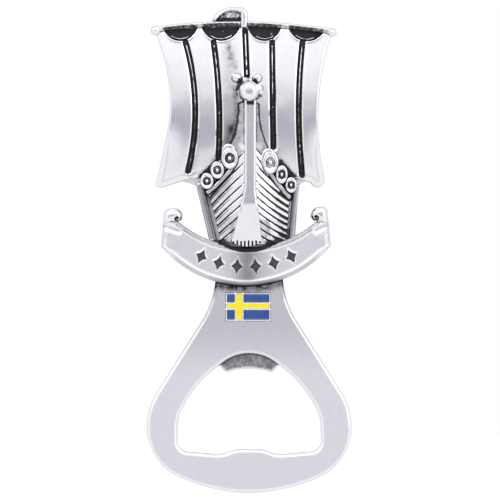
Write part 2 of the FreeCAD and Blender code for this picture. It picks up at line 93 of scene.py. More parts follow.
def place(points, depths):
    """Frame coordinates, in metres, of (x, h) points at their depths."""
    points = np.asarray(points, float)
    depths = np.broadcast_to(depths, len(points))
    return np.column_stack([points[:, 0] * MM, BACK_Y - depths * MM, FOOT_Z + points[:, 1] * MM])


def circle_through(a, b, c):
    """Centre and radius of the circle through three points."""
    d = 2 * (a[0] * (b[1] - c[1]) + b[0] * (c[1] - a[1]) + c[0] * (a[1] - b[1]))
    sa, sb, sc = (p[0] ** 2 + p[1] ** 2 for p in (a, b, c))
    x = (sa * (b[1] - c[1]) + sb * (c[1] - a[1]) + sc * (a[1] - b[1])) / d
    h = (sa * (c[0] - b[0]) + sb * (a[0] - c[0]) + sc * (b[0] - a[0])) / d
    return (x, h), math.dist((x, h), a)


def around(centre, turns, half_w, half_h=None):
    """Points on an ellipse, or on a circle, at the given turns from its centre."""
    half_h = half_w if half_h is None else half_h
    return np.column_stack([centre[0] + half_w * np.cos(turns), centre[1] + half_h * np.sin(turns)])


def arc(a, b, c, step=STEP):
    """Points along the arc from a through b to c."""
    centre, radius = circle_through(a, b, c)
    ta, tb, tc = (math.atan2(p[1] - centre[1], p[0] - centre[0]) for p in (a, b, c))
    sweep = (tc - ta) % TAU
    if (tb - ta) % TAU > sweep:
        sweep -= TAU
    count = max(2, round(abs(sweep) * radius / step))
    return around(centre, ta + np.linspace(0, sweep, count + 1), radius)


def straight(a, b, step=STEP):
    count = max(1, round(math.dist(a, b) / step))
    return np.linspace(a, b, count + 1)


def path(start, *steps, step=STEP):
    """An open line. A step is a point, for a straight run, or a pair (via, end), for an arc."""
    runs = [np.array([start], float)]
    for stage in steps:
        here = tuple(runs[-1][-1])
        run = arc(here, *stage, step=step) if isinstance(stage[0], tuple) else straight(here, stage, step)
        runs.append(run[1:])
    return np.vstack(runs)


def outline(start, *steps, step=STEP):
    """A closed line, drawn as path() draws an open one."""
    line = path(start, *steps, step=step)
    closing = straight(tuple(line[-1]), start, step)
    return np.vstack([line, closing[1:-1]]) if math.dist(line[-1], start) > 1e-6 else line[:-1]


def ellipse(centre, half_w, half_h, step=STEP):
    count = max(20, round(TAU * (half_w + half_h) / 2 / step))
    return around(centre, np.linspace(0, TAU, count, endpoint=False), half_w, half_h)


def smoothed(line, rounds=2):
    """A closed line whose corners are cut, each time at a quarter of both sides."""
    for _ in range(rounds):
        ahead = np.roll(line, -1, axis=0)
        line = np.stack([0.75 * line + 0.25 * ahead, 0.25 * line + 0.75 * ahead], axis=1).reshape(-1, 2)
    return line


def left_of(run):
    """Unit vectors to the left of each direction."""
    run = run / np.hypot(*run.T)[:, None]
    return np.column_stack([-run[:, 1], run[:, 0]])


def shifted(line, by):
    """An open line moved sideways, to the left of its direction."""
    return line + by * left_of(np.gradient(line, axis=0))


def rows(line, *offsets):
    """Lines beside a line, at the given distances on both of its sides."""
    return [shifted(line, side * offset) for offset in offsets for side in (1, -1)]


def band(line, half):
    """The closed outline of a strip along a line."""
    left, right = shifted(line, half), shifted(line, -half)[::-1]
    return np.vstack([left, right])


def inward(rim, by):
    """Points a given distance inside a closed line."""
    ahead = np.roll(rim, -1, axis=0)
    area = np.sum(rim[:, 0] * ahead[:, 1] - ahead[:, 0] * rim[:, 1])
    return rim + by * math.copysign(1, area) * left_of(ahead - np.roll(rim, 1, axis=0))


def nearest(points, line, closed=False):
    """Each point's distance from a line, and how far along the line its nearest place lies."""
    line = np.vstack([line, line[:1]]) if closed else line
    spans = np.diff(line, axis=0)
    lengths = np.maximum(np.hypot(*spans.T), 1e-9)
    starts = np.concatenate([[0], np.cumsum(lengths)])
    distance = np.full(len(points), np.inf)
    along = np.zeros(len(points))
    for corner, span, length, start in zip(line, spans, lengths, starts):
        away = points - corner
        t = np.clip(away @ span / length ** 2, 0, 1)
        gap = np.hypot(*(away - t[:, None] * span).T)
        closer = gap < distance
        distance[closer] = gap[closer]
        along[closer] = start + t[closer] * length
    return distance, along


def inside(points, rim):
    """Which points lie inside a closed line."""
    x, h = points.T
    within = np.zeros(len(points), bool)
    for (x0, h0), (x1, h1) in zip(rim, np.roll(rim, -1, axis=0)):
        if h0 != h1:
            crosses = (h0 > h) != (h1 > h)
            within ^= crosses & (x < x0 + (h - h0) * (x1 - x0) / (h1 - h0))
    return within


def signed(points, rim):
    """Each point's distance from a closed line, negative inside it."""
    gap = nearest(points, rim, closed=True)[0]
    return np.where(inside(points, rim), -gap, gap)


# ---- height maps


def ease(value, low, high):
    """0 below low, 1 above high, and a smooth rise between."""
    t = np.clip((value - low) / (high - low), 0, 1)
    return t * t * (3 - 2 * t)


def rounding(inset, radius):
    """How far a rounded edge lies below the face, at a distance inside the outline."""
    gap = radius - np.minimum(inset, radius)
    return radius - np.sqrt(np.maximum(radius ** 2 - gap ** 2, 0))


def channel(distance, half, wall=0.16):
    """1 on a channel's floor and 0 beside it."""
    return 1 - ease(distance, half - wall, half + wall / 2)


def groove(distance, half):
    """1 at the bottom of a V-shaped groove and 0 beside it."""
    return np.maximum(1 - distance / half, 0)


def bell(distance, width):
    """1 where the distance is 0, and a soft fall to both sides."""
    return np.exp(-((distance / width) ** 2))


def smudge(points, line, width):
    """A soft mark along a line."""
    return bell(nearest(points, line)[0], width)


def ripple(points, size, seed):
    """Smooth unevenness of about -1 to 1, whose bumps are about as large as size."""
    draw = np.random.default_rng(seed)
    total = np.zeros(len(points))
    waves = 16
    for _ in range(waves):
        turn, phase = draw.uniform(0, TAU), draw.uniform(0, TAU)
        rate = TAU / size * draw.uniform(0.5, 1.5)
        total += np.sin(points @ (rate * np.array([math.cos(turn), math.sin(turn)])) + phase)
    return total / waves * 2.2


# ---- making pieces
ROW_PITCH = 0.866          # distance of a grid's rows, over the spacing in a row
LIP = 0.08                 # how far below the face the walls of a relief begin
pieces = []


def new_object(name, data):
    made = bpy.data.objects.new(name, data)
    bpy.context.collection.objects.link(made)
    return made


def add_piece(name, vertices, faces, node, slot="antique_silver", material=None, patina=None, veil=None):
    """A mesh object that rides on the opener's one body and stands for a CAD node."""
    mesh = bpy.data.meshes.new(name)
    mesh.from_pydata([tuple(v) for v in vertices], [], faces)
    mesh.validate()
    mesh.shade_smooth()
    mesh.set_sharp_from_angle(angle=CREASE)
    # the two marks: mottled tarnish that in places holds painted shade or highlight, and an even darkening
    # that is mostly painted shade
    for mark, values in (("patina", patina), ("veil", veil)):
        if values is not None:
            mesh.attributes.new(mark, "FLOAT", "POINT").data.foreach_set("value", np.clip(values, 0, 1))
    mesh.materials.append(material or LOOKS[slot])
    piece = new_object(name, mesh)
    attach(piece, "root")
    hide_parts(node)
    pieces.append(piece)


def spaced(groups, gap):
    """Points of all the groups, leaving out those nearer than the gap to a point of an earlier group."""
    kept = groups[0]
    for group in groups[1:]:
        tree = KDTree(len(kept))
        for i, (x, h) in enumerate(kept):
            tree.insert((x, h, 0), i)
        tree.balance()
        apart = np.array([tree.find((x, h, 0))[2] > gap for x, h in group], bool)
        kept = np.vstack([kept, group[apart]]) if len(group) else kept
    return kept


def filling(rim, edge, follow, step):
    """Points of a relief in the plane: its rim, rings along its edge, the lines to follow, and a grid."""
    turns = np.linspace(0, math.pi / 2, 5 + int(4 * edge))[1:]
    rings = [inward(rim, edge * (1 - math.cos(turn))) for turn in turns]
    low, high = rim.min(axis=0), rim.max(axis=0)
    grid = np.array([
        (x + (row % 2) * step / 2, h)
        for row, h in enumerate(np.arange(low[1], high[1], step * ROW_PITCH))
        for x in np.arange(low[0], high[0], step)
    ])
    groups = []
    for group, margin in ((np.vstack([*rings, *follow]), edge * 0.05), (grid, step * 0.3)):
        group = group[inside(group, rim)]
        groups.append(group[nearest(group, rim, closed=True)[0] > margin])
    return spaced([np.vstack([rim, groups[0]]), groups[1]], step * 0.55)


def border(triangles):
    """The corners around the triangles, in order."""
    spans = {(t[k], t[(k + 1) % 3]): None for t in triangles for k in range(3)}
    after = {a: b for a, b in spans if (b, a) not in spans}
    ring = [next(iter(after))]
    while after[ring[-1]] != ring[0]:
        ring.append(after[ring[-1]])
    return ring


def relief_mesh(rim, front, back, edge, follow, step):
    """Vertices and faces of a relief, with the (x, h) place and inset of each vertex."""
    flat = filling(rim, edge, follow, step)
    loop = [(i, (i + 1) % len(rim)) for i in range(len(rim))]
    corners, _, triangles, *_ = delaunay_2d_cdt([Vector(p) for p in flat], loop, [], 1, 1e-5)
    flat = np.array([tuple(p) for p in corners])
    ring = border(triangles)
    inset = nearest(flat, rim, closed=True)[0]
    inset[ring] = 0.0
    depth = front(flat, inset)
    count, size = len(flat), len(ring)
    lip = np.maximum(depth[ring] - LIP, back + 0.01)
    vertices = np.vstack([place(flat, depth), place(flat[ring], lip), place(flat[ring], back)])
    faces = [tuple(t) for t in triangles]
    levels = [ring, list(range(count, count + size)), list(range(count + size, count + 2 * size))]
    for upper, lower in zip(levels, levels[1:]):
        for i in range(size):
            j = (i + 1) % size
            faces.append((upper[j], upper[i], lower[i], lower[j]))
    base = count + size
    for a, b, c in tessellate_polygon([[Vector((x, h, 0)) for x, h in flat[ring]]]):
        (x0, h0), (x1, h1), (x2, h2) = (flat[ring[i]] for i in (a, b, c))
        turn = (x1 - x0) * (h2 - h0) - (x2 - x0) * (h1 - h0)
        faces.append((base + a, base + c, base + b) if turn > 0 else (base + a, base + b, base + c))
    spots = np.vstack([flat, flat[ring], flat[ring]])
    return vertices, faces, spots, np.concatenate([inset, np.zeros(2 * size)])


def relief(name, node, rim, front, back, slot="antique_silver", material=None, edge=0.3, follow=(),
           step=0.3, patina=None, veil=None):
    """A raised piece. Functions of (points, inset) give its depths, its mottled tarnish, which in places
    holds painted shade or highlight, and an even darkening, mostly painted shade and partly tarnish."""
    vertices, faces, spots, insets = relief_mesh(rim, front, back, edge, list(follow), step)
    marks = [None if mark is None else mark(spots, insets) for mark in (patina, veil)]
    add_piece(name, vertices, faces, node, slot, material, *marks)


def slab(name, node, rim, top, back, edge, **looks):
    """A relief with a level front and a rounded edge."""
    relief(name, node, rim, lambda p, i: top - rounding(i, edge), back, edge=edge, **looks)


def tube(name, node, line, depth, radii, patina, sides=24):
    """A rod along a line, with a radius at each of its points."""
    across = left_of(np.gradient(line, axis=0))
    vertices, marks = [], []
    for k in range(sides):
        turn = TAU * k / sides
        beside = line + across * (radii * math.cos(turn))[:, None]
        vertices.append(place(beside, depth + radii * math.sin(turn)))
        marks.append(patina(line, turn))
    vertices = np.vstack(vertices)
    count = len(line)
    faces = []
    for k in range(sides):
        a, b = k * count, (k + 1) % sides * count
        faces += [(a + i, b + i, b + i + 1, a + i + 1) for i in range(count - 1)]
    faces.append(tuple(k * count for k in range(sides))[::-1])
    faces.append(tuple(k * count + count - 1 for k in range(sides)))
    add_piece(name, vertices, faces, node, patina=np.concatenate(marks))


def add_cavity(reach=1.6, rays=18):
    """Marks how hemmed in each point of the reliefs is, by rays sent out to the pieces around it."""
    shown = pieces + [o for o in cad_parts.values() if not o.hide_render and o.type == "MESH"]
    corners, polygons = [], []
    for thing in shown:
        base = len(corners)
        corners += [thing.matrix_world @ v.co for v in thing.data.vertices]
        polygons += [[base + i for i in p.vertices] for p in thing.data.polygons]
    tree = BVHTree.FromPolygons(corners, polygons)
    golden = math.pi * (3 - math.sqrt(5))
    spread = []
    for k in range(rays):
        z = math.sqrt(1 - (k + 0.5) / rays)
        out = math.sqrt(1 - z * z)
        spread.append(Vector((out * math.cos(golden * k), out * math.sin(golden * k), z)))
    far = reach * MM
    for piece in pieces:
        values = []
        for vertex in piece.data.vertices:
            turn = vertex.normal.to_track_quat("Z", "Y")
            start = vertex.co + vertex.normal * (0.03 * MM)
            shut = 0.0
            for direction in spread:
                hit = tree.ray_cast(start, turn @ direction, far)[3]
                if hit is not None:
                    shut += 1 - hit / far
            values.append(shut / rays)
        marks = piece.data.attributes.new("cavity", "FLOAT", "POINT")
        marks.data.foreach_set("value", values)


# ---- materials


class Nodes:
    """A node tree, with short ways to add and join its nodes."""

    def __init__(self, tree):
        self.tree = tree
        tree.nodes.clear()

    def join(self, socket, value):
        if isinstance(value, bpy.types.NodeSocket):
            self.tree.links.new(value, socket)
        else:
            socket.default_value = value

    def node(self, kind, settings=None, **inputs):
        made = self.tree.nodes.new("ShaderNode" + kind)
        for name, value in (settings or {}).items():
            setattr(made, name, value)
        for name, value in inputs.items():
            self.join(made.inputs[name.replace("_", " ")], value)
        return made

    def sum(self, *terms):
        """Terms added up; a pair (value, factor) is a product."""
        total = None
        for term in terms:
            if isinstance(term, tuple):
                term = self.math("MULTIPLY", *term)
            total = term if total is None else self.math("ADD", total, term)
        return total

    def math(self, operation, a, b=0.0):
        made = self.node("Math", {"operation": operation})
        self.join(made.inputs[0], a)
        self.join(made.inputs[1], b)
        return made.outputs[0]

    def rise(self, value, low, high, start=0.0, end=1.0):
        """A smooth change from start to end while the value goes from low to high."""
        made = self.node("MapRange", {"interpolation_type": "SMOOTHSTEP"}, Value=value, From_Min=low,
                         From_Max=high, To_Min=start, To_Max=end)
        return made.outputs["Result"]

    def blend(self, factor, a, b):
        made = self.node("Mix", {"data_type": "RGBA"})
        self.join(made.inputs[0], factor)
        self.join(made.inputs[6], a)
        self.join(made.inputs[7], b)
        return made.outputs[2]


class Shader(Nodes):
    """The node tree of a new material."""

    def __init__(self, name):
        self.material = bpy.data.materials.new(name)
        self.material.use_nodes = True
        super().__init__(self.material.node_tree)
        self.place = self.node("TexCoord").outputs["Object"]

    def noise(self, per_mm, detail=3.0, rough=0.55, stretch=(1, 1, 1), turn=0.0):
        """Noise with about a given number of grains to the millimetre."""
        spot = self.node("Mapping", None, Vector=self.place, Rotation=(0, turn, 0),
                         Scale=tuple(per_mm / MM * s for s in stretch))
        made = self.node("TexNoise", None, Vector=spot.outputs[0], Scale=1.0, Detail=detail,
                         Roughness=rough)
        return made.outputs["Fac"]

    def mark(self, name):
        return self.node("Attribute", {"attribute_name": name}).outputs["Fac"]

    def bump(self, height, depth_mm, strength=1.0):
        made = self.node("Bump", None, Height=height, Distance=depth_mm * MM, Strength=strength)
        return made.outputs["Normal"]

    def finish(self, **inputs):
        surface = self.node("BsdfPrincipled", None, **inputs)
        output = self.node("OutputMaterial")
        self.tree.links.new(surface.outputs[0], output.inputs["Surface"])
        return self.material


def colour(red, green, blue):
    return (red, green, blue, 1.0)


def silver(name, bright, roughness, shade=None, dark=colour(0.022, 0.02, 0.024), scratch=0.002, wave=0.006):
    """Polished cast metal, black where tarnish was left in its recesses, and darkened in places by painted
    shade.
    """
    s = Shader(name)
    mottle = s.noise(0.9, 6, 0.62)
    speckle = s.noise(5.0, 4, 0.6)
    strokes = s.noise(1.2, 3, 0.6, stretch=(9, 1, 0.7), turn=0.35)
    hollow = s.rise(s.mark("cavity"), 0.16, 0.62)
    # tarnish from the marks and the noise; the patina mark also holds painted shade in places
    tarnish_and_shade = s.sum(s.mark("patina"), (hollow, 0.85), (s.math("SUBTRACT", mottle, 0.5), 0.9),
                  (s.math("SUBTRACT", speckle, 0.5), 0.5))
    tarnish_and_shade = s.rise(tarnish_and_shade, 0.2, 0.85)
    cloud = s.rise(s.sum((mottle, 0.5), (strokes, 0.5)), 0.4, 0.64)
    tint = s.blend(cloud, bright, tuple(0.95 * c for c in bright[:3]) + (1.0,))
    base = s.blend(tarnish_and_shade, tint, dark)
    # the even darkening: mostly painted shade, partly tarnish
    base = s.blend(s.mark("veil"), base, dark)
    # painted shade, where a shade function is given
    if shade:
        base = s.blend(shade(s, mottle), base, dark)
    shine = s.sum(roughness, (s.math("SUBTRACT", speckle, 0.5), 0.08), (tarnish_and_shade, 0.3))
    swell = s.bump(s.noise(0.22, 2, 0.5), wave * 4)
    pits = s.node("Bump", None, Height=s.sum((speckle, 0.4), (strokes, 0.6), (mottle, 0.3)),
                  Distance=scratch * MM, Normal=swell)
    return s.finish(Base_Color=base, Metallic=s.rise(tarnish_and_shade, 0.0, 1.0, 1.0, 0.55), Roughness=shine,
                    Normal=pits.outputs["Normal"])


def painted_shade_below_banner(s, mottle):
    """Painted shade on the neck: how far it is darkened, a little towards its top, and much more right
    under the banner, where the banner shades it.
    """
    (x, h), radius = circle_through(*BANNER_FOOT)
    parts = s.node("SeparateXYZ", None, Vector=s.place)
    height = s.math("SUBTRACT", parts.outputs["Z"], FOOT_Z)
    side = s.math("ABSOLUTE", parts.outputs["X"])
    across = s.math("SUBTRACT", parts.outputs["X"], x * MM)
    up = s.math("SUBTRACT", height, h * MM)
    reach = s.math("POWER", s.sum((across, across), (up, up)), 0.5)
    neck = s.rise(height, 26.0 * MM, 43.0 * MM, 0.0, 0.25)
    band = s.rise(reach, (radius + 0.6) * MM, (radius + 2.6) * MM, 0.44, 0.0)
    line = s.rise(reach, (radius + 0.05) * MM, (radius + 0.5) * MM, 0.35, 0.0)
    corner = s.math("MULTIPLY", s.rise(height, 46.5 * MM, 49.8 * MM), s.rise(side, 7.4 * MM, 8.4 * MM))
    spots = s.math("MULTIPLY", s.rise(mottle, 0.4, 0.65), band)
    end = s.rise(height, 53.0 * MM, 54.5 * MM, 1.0, 0.0)
    front = s.rise(parts.outputs["Y"], BACK_Y - 0.8 * MM, BACK_Y - 0.3 * MM, 1.0, 0.0)
    darkened = s.sum(neck, band, line, (spots, 0.8), (corner, 0.4))
    return s.math("MULTIPLY", s.math("MULTIPLY", darkened, end), front)


def matte_steel():
    """The tooth: blasted, dull and darker, with light scrapes and a painted highlight along its lower lip.
    """
    s = Shader("tooth_steel")
    grain = s.noise(6.0, 5, 0.7)
    cloud = s.noise(0.7, 4, 0.6)
    shade = s.sum((grain, 0.6), (cloud, 0.6))
    base = s.blend(s.rise(shade, 0.45, 0.8), colour(0.14, 0.145, 0.158), colour(0.46, 0.47, 0.49))
    # painted highlight: this mark lightens the tooth along its lower lip
    base = s.blend(s.mark("patina"), base, colour(0.75, 0.75, 0.78))
    base = s.blend(s.rise(s.mark("cavity"), 0.1, 0.42, 0.0, 0.9), base, colour(0.03, 0.03, 0.034))
    return s.finish(Base_Color=base, Metallic=0.9, Roughness=s.rise(grain, 0.3, 0.7, 0.38, 0.6),
                    Normal=s.bump(grain, 0.03))


def enamel(name, deep, light):
    """Glass-like enamel that pools in its cell."""
    s = Shader(name)
    cloud = s.noise(0.9, 3, 0.5)
    base = s.blend(s.rise(cloud, 0.3, 0.7), deep, light)
    return s.finish(Base_Color=base, Roughness=0.16, Coat_Weight=0.6, Coat_Roughness=0.05,
                    Normal=s.bump(s.noise(1.6, 2), 0.01))


def dull(name, base, pale, roughness, per_mm, metallic=0.0):
    """A matt, grainy filling."""
    s = Shader(name)
    grain = s.noise(per_mm, 5, 0.65)
    shade = s.blend(s.rise(grain, 0.35, 0.75), base, pale)
    return s.finish(Base_Color=shade, Roughness=roughness, Metallic=metallic, Normal=s.bump(grain, 0.04))


BRIGHT = colour(0.87, 0.86, 0.885)
ANTIQUE = silver("antique_silver", BRIGHT, 0.2)
# the frame's satin silver, with painted shade on its neck under the banner
SATIN = silver("satin_silver", colour(0.9, 0.895, 0.93), 0.34, shade=painted_shade_below_banner, scratch=0.0015)
RIBBON = silver("ribbon_silver", colour(0.9, 0.895, 0.925), 0.3)
TOOTH = matte_steel()
BLUE = enamel("enamel_blue", colour(0.012, 0.05, 0.19), colour(0.016, 0.072, 0.24))
YELLOW = enamel("enamel_yellow", colour(0.72, 0.56, 0.001), colour(0.78, 0.62, 0.002))
BLACK = dull("black_fill", colour(0.012, 0.011, 0.014), colour(0.075, 0.066, 0.08), 0.45, 2.5)
FERRITE = dull("ferrite", colour(0.045, 0.045, 0.05), colour(0.085, 0.085, 0.09), 0.6, 3.0)
GLUE = dull("adhesive", colour(0.7, 0.66, 0.55), colour(0.8, 0.77, 0.66), 0.3, 1.0)
LOOKS = {"antique_silver": ANTIQUE, "dark_silver": ANTIQUE, "tooth_steel": TOOTH, "enamel_blue": BLUE,
         "enamel_yellow": YELLOW, "black_fill": BLACK}

# ---- CAD nodes that stay
KEPT = {"opener_frame": SATIN, "magnet": FERRITE, "magnet_adhesive": GLUE}
for node, material in KEPT.items():
    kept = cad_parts[node]
    kept.data.materials.clear()
    kept.data.materials.append(material)

# ---- sail
SEAMS = [((-15.55, 110.0), (-13.15, 93.6), (-14.9, 78.6)), ((-8.7, 110.0), (-7.3, 93.6), (-7.5, 82.0)),
         ((5.6, 110.0), (5.75, 94.1), (5.9, 84.3)), ((13.0, 110.0), (12.1, 94.8), (12.9, 77.6))]
MAST = ((-1.0, 113.0), (-0.55, 101.7))
SCALLOPS = [((-20.8, 113.2), (-16.8, 110.4), (-12.7, 113.6)),
            ((-11.6, 113.8), (-6.85, 110.4), (-2.2, 113.9)),
            ((-0.3, 114.0), (3.75, 110.4), (7.8, 113.8)), ((9.7, 113.5), (13.9, 110.3), (18.2, 112.6))]
YARD = ((-22.9, 113.2), (-0.5, 114.5), (20.4, 112.6))
PILLOW = 0.2               # how far a panel of the sail falls off beside a seam
SCALLOP_DEEP = 1.0
PLATE_FRONT = 2.6          # depth of the front of the backing plate
HEM_SLOPE = 0.28           # how steeply the hem at the sail's sides falls back

seam_lines = [arc(*seam, step=FINE) for seam in SEAMS]
mast_line = straight(*MAST, step=FINE)
scallop_rims = [outline(a, (b, c), step=FINE) for a, b, c in SCALLOPS]
SAIL_RIM = outline(
    (-22.9, 75.1), ((-21.9, 74.6), (-20.4, 74.8)), (-14.3, 76.8), (12.3, 76.6), (15.0, 75.7),
    ((17.9, 75.1), (18.4, 76.9)), ((16.95, 95.3), (19.3, 109.3)), (20.4, 112.6),
    ((-0.5, 114.5), (-22.9, 113.2)), (-21.85, 109.3), ((-19.35, 95.3), (-20.15, 87.2)),
)


def belly(h):
    """Depth of the sail's front at a height."""
    sagitta = SAIL_BELLY - SAIL_TOP
    radius = (SAIL_SPAN ** 2 + sagitta ** 2) / (2 * sagitta)
    return SAIL_BELLY - radius + np.sqrt(radius ** 2 - (h - SAIL_BELLY_H) ** 2)


def hem_gap(points, inset):
    """How far inside the hem's inner line a point lies; the hem is wider towards its lower corners."""
    return inset - (0.65 + 0.8 * ease(points[:, 1], 89.0, 79.0))


def sail_front(points, inset):
    x, h = points.T
    depth = belly(h) + 0.02 * ripple(points, 7.0, 3)
    for line in seam_lines + [mast_line]:
        gap = nearest(points, line)[0]
        depth -= CHANNEL_DEEP * channel(gap, CHANNEL_W / 2)
        depth -= PILLOW * np.exp(-np.maximum(gap - CHANNEL_W / 2, 0) / 0.55)
    for rim in scallop_rims:
        gap = signed(points, rim)
        depth += 0.1 * bell(gap - 0.25, 0.22)
        depth -= SCALLOP_DEEP * channel(gap, 0.0)
    depth = np.maximum(depth, PLATE_FRONT + 0.06 + 0.05 * ripple(points, 0.9, 8))
    out = np.abs(x + 1.0)
    hem = hem_gap(points, inset)
    depth -= ease(out, 13.5, 15.5) * HEM_SLOPE * np.maximum(-hem, 0)
    depth -= (0.03 + 0.09 * ease(h, 92.0, 84.0)) * bell(hem, 0.22) * ease(out, 11.5, 13.5)
    depth -= 0.2 * ease(h, 92.0, 80.0) * np.maximum(out - 14.5, 0)
    return np.maximum(depth - rounding(inset, 0.4), RIM + 0.3)


LEFT_STREAK = path((-3.5, 99.0), (-3.2, 96.0), (-3.2, 91.6), (-4.2, 88.2))
BLOTCH = path((-4.7, 89.0), (-5.0, 86.9), (-5.5, 85.4))


def sail_patina(points, inset):
    x, h = points.T
    marks = 0.2 * smudge(points, path((-5.6, 108.6), (-4.9, 105.0), (-4.6, 86.0)), 1.7)
    marks += 0.4 * smudge(points, LEFT_STREAK, 0.75)
    marks += 0.24 * smudge(points, BLOTCH, 1.4)
    marks += 0.36 * smudge(points, path((-5.0, 109.2), (-4.2, 105.8), (-3.2, 104.2)), 1.1)
    # painted shadow of the hull and its shields on the sail, over and beyond the hull's outer rims
    for corners in HULL_RIMS.values():
        gap = signed(points, outline(*corners))
        hull_shadow = np.where(gap < 0, 1.0, 0.5 * np.exp(-gap / 0.4) + 0.2 * np.exp(-gap / 1.6))
        marks += hull_shadow * ease(np.abs(x), 6.9, 7.8) * ease(h, 76.4, 77.4)
    for line in seam_lines + [mast_line]:
        marks += 1.3 * channel(nearest(points, line)[0], CHANNEL_W / 2 - 0.02)
    sparkle = 0.55 * ease(ripple(points, 0.8, 9), 0.6, 1.0)
    for rim in scallop_rims:
        marks += (1.1 - sparkle) * channel(signed(points, rim), -0.05)
    return marks


def sail_veil(points, inset):
    """A grey cast beside the stem, and painted shade along the soft line of the hem in the sail's lower
    corners.
    """
    veil = 0.2 * smudge(points, path((-4.8, 108.0), (-4.6, 86.0)), 2.0)
    veil += 0.3 * smudge(points, LEFT_STREAK, 0.6) + 0.5 * smudge(points, BLOTCH, 1.1)
    veil += 0.22 * bell(hem_gap(points, inset), 0.2) * ease(points[:, 1], 88.0, 82.0)
    return veil


def make_sail():
    follow = []
    for line in seam_lines + [mast_line]:
        follow += rows(line, 0.0, 0.3, 0.5, 0.6, 0.7, 0.8, 1.1)
    for a, b, c in SCALLOPS:
        follow += rows(arc(a, b, c, step=FINE), 0.0, 0.1, 0.2, 0.4, 0.6)
    follow += [inward(SAIL_RIM, by) for by in (0.5, 0.65, 0.8, 1.0, 1.2, 1.45, 1.7)]
    relief("sail_cloth", "sail", SAIL_RIM, sail_front, RIM, edge=0.5, follow=follow, step=0.42,
           patina=sail_patina, veil=sail_veil)


NO_FADE = (90.0, 0.0)
ROPE_IN = 0.5              # how far inside its scallop's edge a rope lies
ROPE_REACH = 0.66          # and the angle that it reaches to either side
# below this height the seam's cord is worn bright only in part
CORD_FADE = {1: (96.5, 0.36), 2: (97.5, 0.32), 3: (97.5, 0.24), 4: (96.5, 0.36)}


def bead_line(name, node, line, half, low, fade, seed):
    """A thin cord in a channel, rubbed bright on its crown; below a height only a part of it is worn."""
    def front(points, inset):
        crown = np.sqrt(np.maximum(1 - (1 - np.minimum(inset / half, 1)) ** 2, 0))
        return belly(points[:, 1]) - low - 0.3 + (0.3 + 0.08 * ripple(points, 2.2, seed)) * crown

    def patina(points, inset):
        bright = fade[1] + (1 - fade[1]) * ease(points[:, 1], fade[0] - 2.5, fade[0] + 2.5)
        worn = ease(ripple(points, 2.6, seed + 40), -1.2, 0.2) * bright
        spark = ease(ripple(points, 1.3, seed + 81), 0.66, 0.78)
        return 1.0 - ease(inset, half * 0.3, half * 0.85) * np.maximum(0.85 * worn, spark)

    relief(name, node, band(line, half), front, PLATE_FRONT - 0.2, edge=half * 0.9, follow=[line],
           step=0.25, patina=patina)


def make_cords():
    for number, seam in enumerate(SEAMS, 1):
        bead_line(f"seam_line_{number}", f"seam_cord_{number}", arc(*seam, step=0.16)[4:-3], 0.2, 0.3,
                  CORD_FADE[number], number)
    bead_line("mast_strip", "mast", straight(*MAST, step=0.16)[4:-1], 0.26, 0.2, NO_FADE, 5)
    for number, (a, b, c) in enumerate(SCALLOPS, 1):
        centre, radius = circle_through(a, b, c)
        middle = math.atan2(b[1] - centre[1], b[0] - centre[0])
        turns = middle + np.linspace(-ROPE_REACH, ROPE_REACH, 48)
        rope = around(centre, turns, radius - ROPE_IN)
        bead_line(f"scallop_rope_{number}", f"scallop_cord_{number}", rope, 0.2, 0.3, NO_FADE, 10 + number)


def make_yard():
    line = arc(*YARD, step=0.25)
    along = np.linspace(0, 1, len(line))
    ends = np.sqrt(np.clip(np.minimum(along, 1 - along) / 0.01, 0.15, 1))
    radii = YARD_R * ends * (1 + 0.05 * ripple(line, 3.0, 21))

    def patina(spots, turn):
        # painted shade: only the yard's lower half takes this mark, darker over the scallops' openings than
        # at the lashings
        under = ease(0.5 - 0.5 * math.cos(turn), 0.2, 0.4)
        x = spots[:, 0]
        lashed = np.ones(len(spots))
        for (x0, _), _, (x1, _) in SCALLOPS:
            lashed *= 1 - ease(x, x0 - 0.4, x0 + 0.4) * (1 - ease(x, x1 - 0.4, x1 + 0.4))
        worn = ease(x, -22.0, -21.3) * ease(x, 19.8, 19.1)
        return worn * under * (0.78 - 0.3 * lashed + 0.14 * ripple(spots + (0, YARD_R * turn), 0.8, 22))

    tube("yard_spar", "yard", line, YARD_DEPTH, radii, patina)
    for name, spot, size in (("left", (-22.8, 112.9), 1.25), ("right", (20.3, 112.4), 1.05)):
        edge = size * 0.9
        relief(f"yard_end_{name}", f"yard_knob_{name}", ellipse(spot, size, size * 0.95, step=0.2),
               lambda p, i: YARD_DEPTH + 0.8 - rounding(i, edge) + 0.05 * ripple(p, 1.6, 30),
               YARD_DEPTH - 0.9, edge=edge, step=0.25)


CURL_TOP = 4.9
WEB_TOP = 2.85
STERN_BACK = 1.5


def make_stern():
    curl = smoothed(outline(
        (-9.1, 115.3), ((-7.0, 117.75), (-2.7, 118.5)), ((-0.95, 118.0), (-0.3, 116.0)), (-0.4, 113.4),
        (-2.1, 113.4), (-2.1, 117.2), ((-5.4, 117.3), (-8.1, 115.3)), step=0.2), 1)
    web = outline((-8.6, 114.3), ((-5.4, 117.4), (-1.9, 117.5)), (-1.9, 113.8), step=0.2)
    slab("stern_hook", "stern_curl", curl, CURL_TOP, STERN_BACK, 0.85, step=0.2)
    relief("stern_panel", "stern_web", web,
           lambda p, i: WEB_TOP + 0.16 * ripple(p, 1.0, 51) - rounding(i, 0.1), STERN_BACK, "dark_silver",
           edge=0.1, step=0.22, patina=web_patina)


def web_patina(points, inset):
    """Black beside the yard, and mottled grey above."""
    return 1.2 - 0.75 * ease(points[:, 1], 115.2, 116.6) + 0.25 * ripple(points, 1.1, 52)


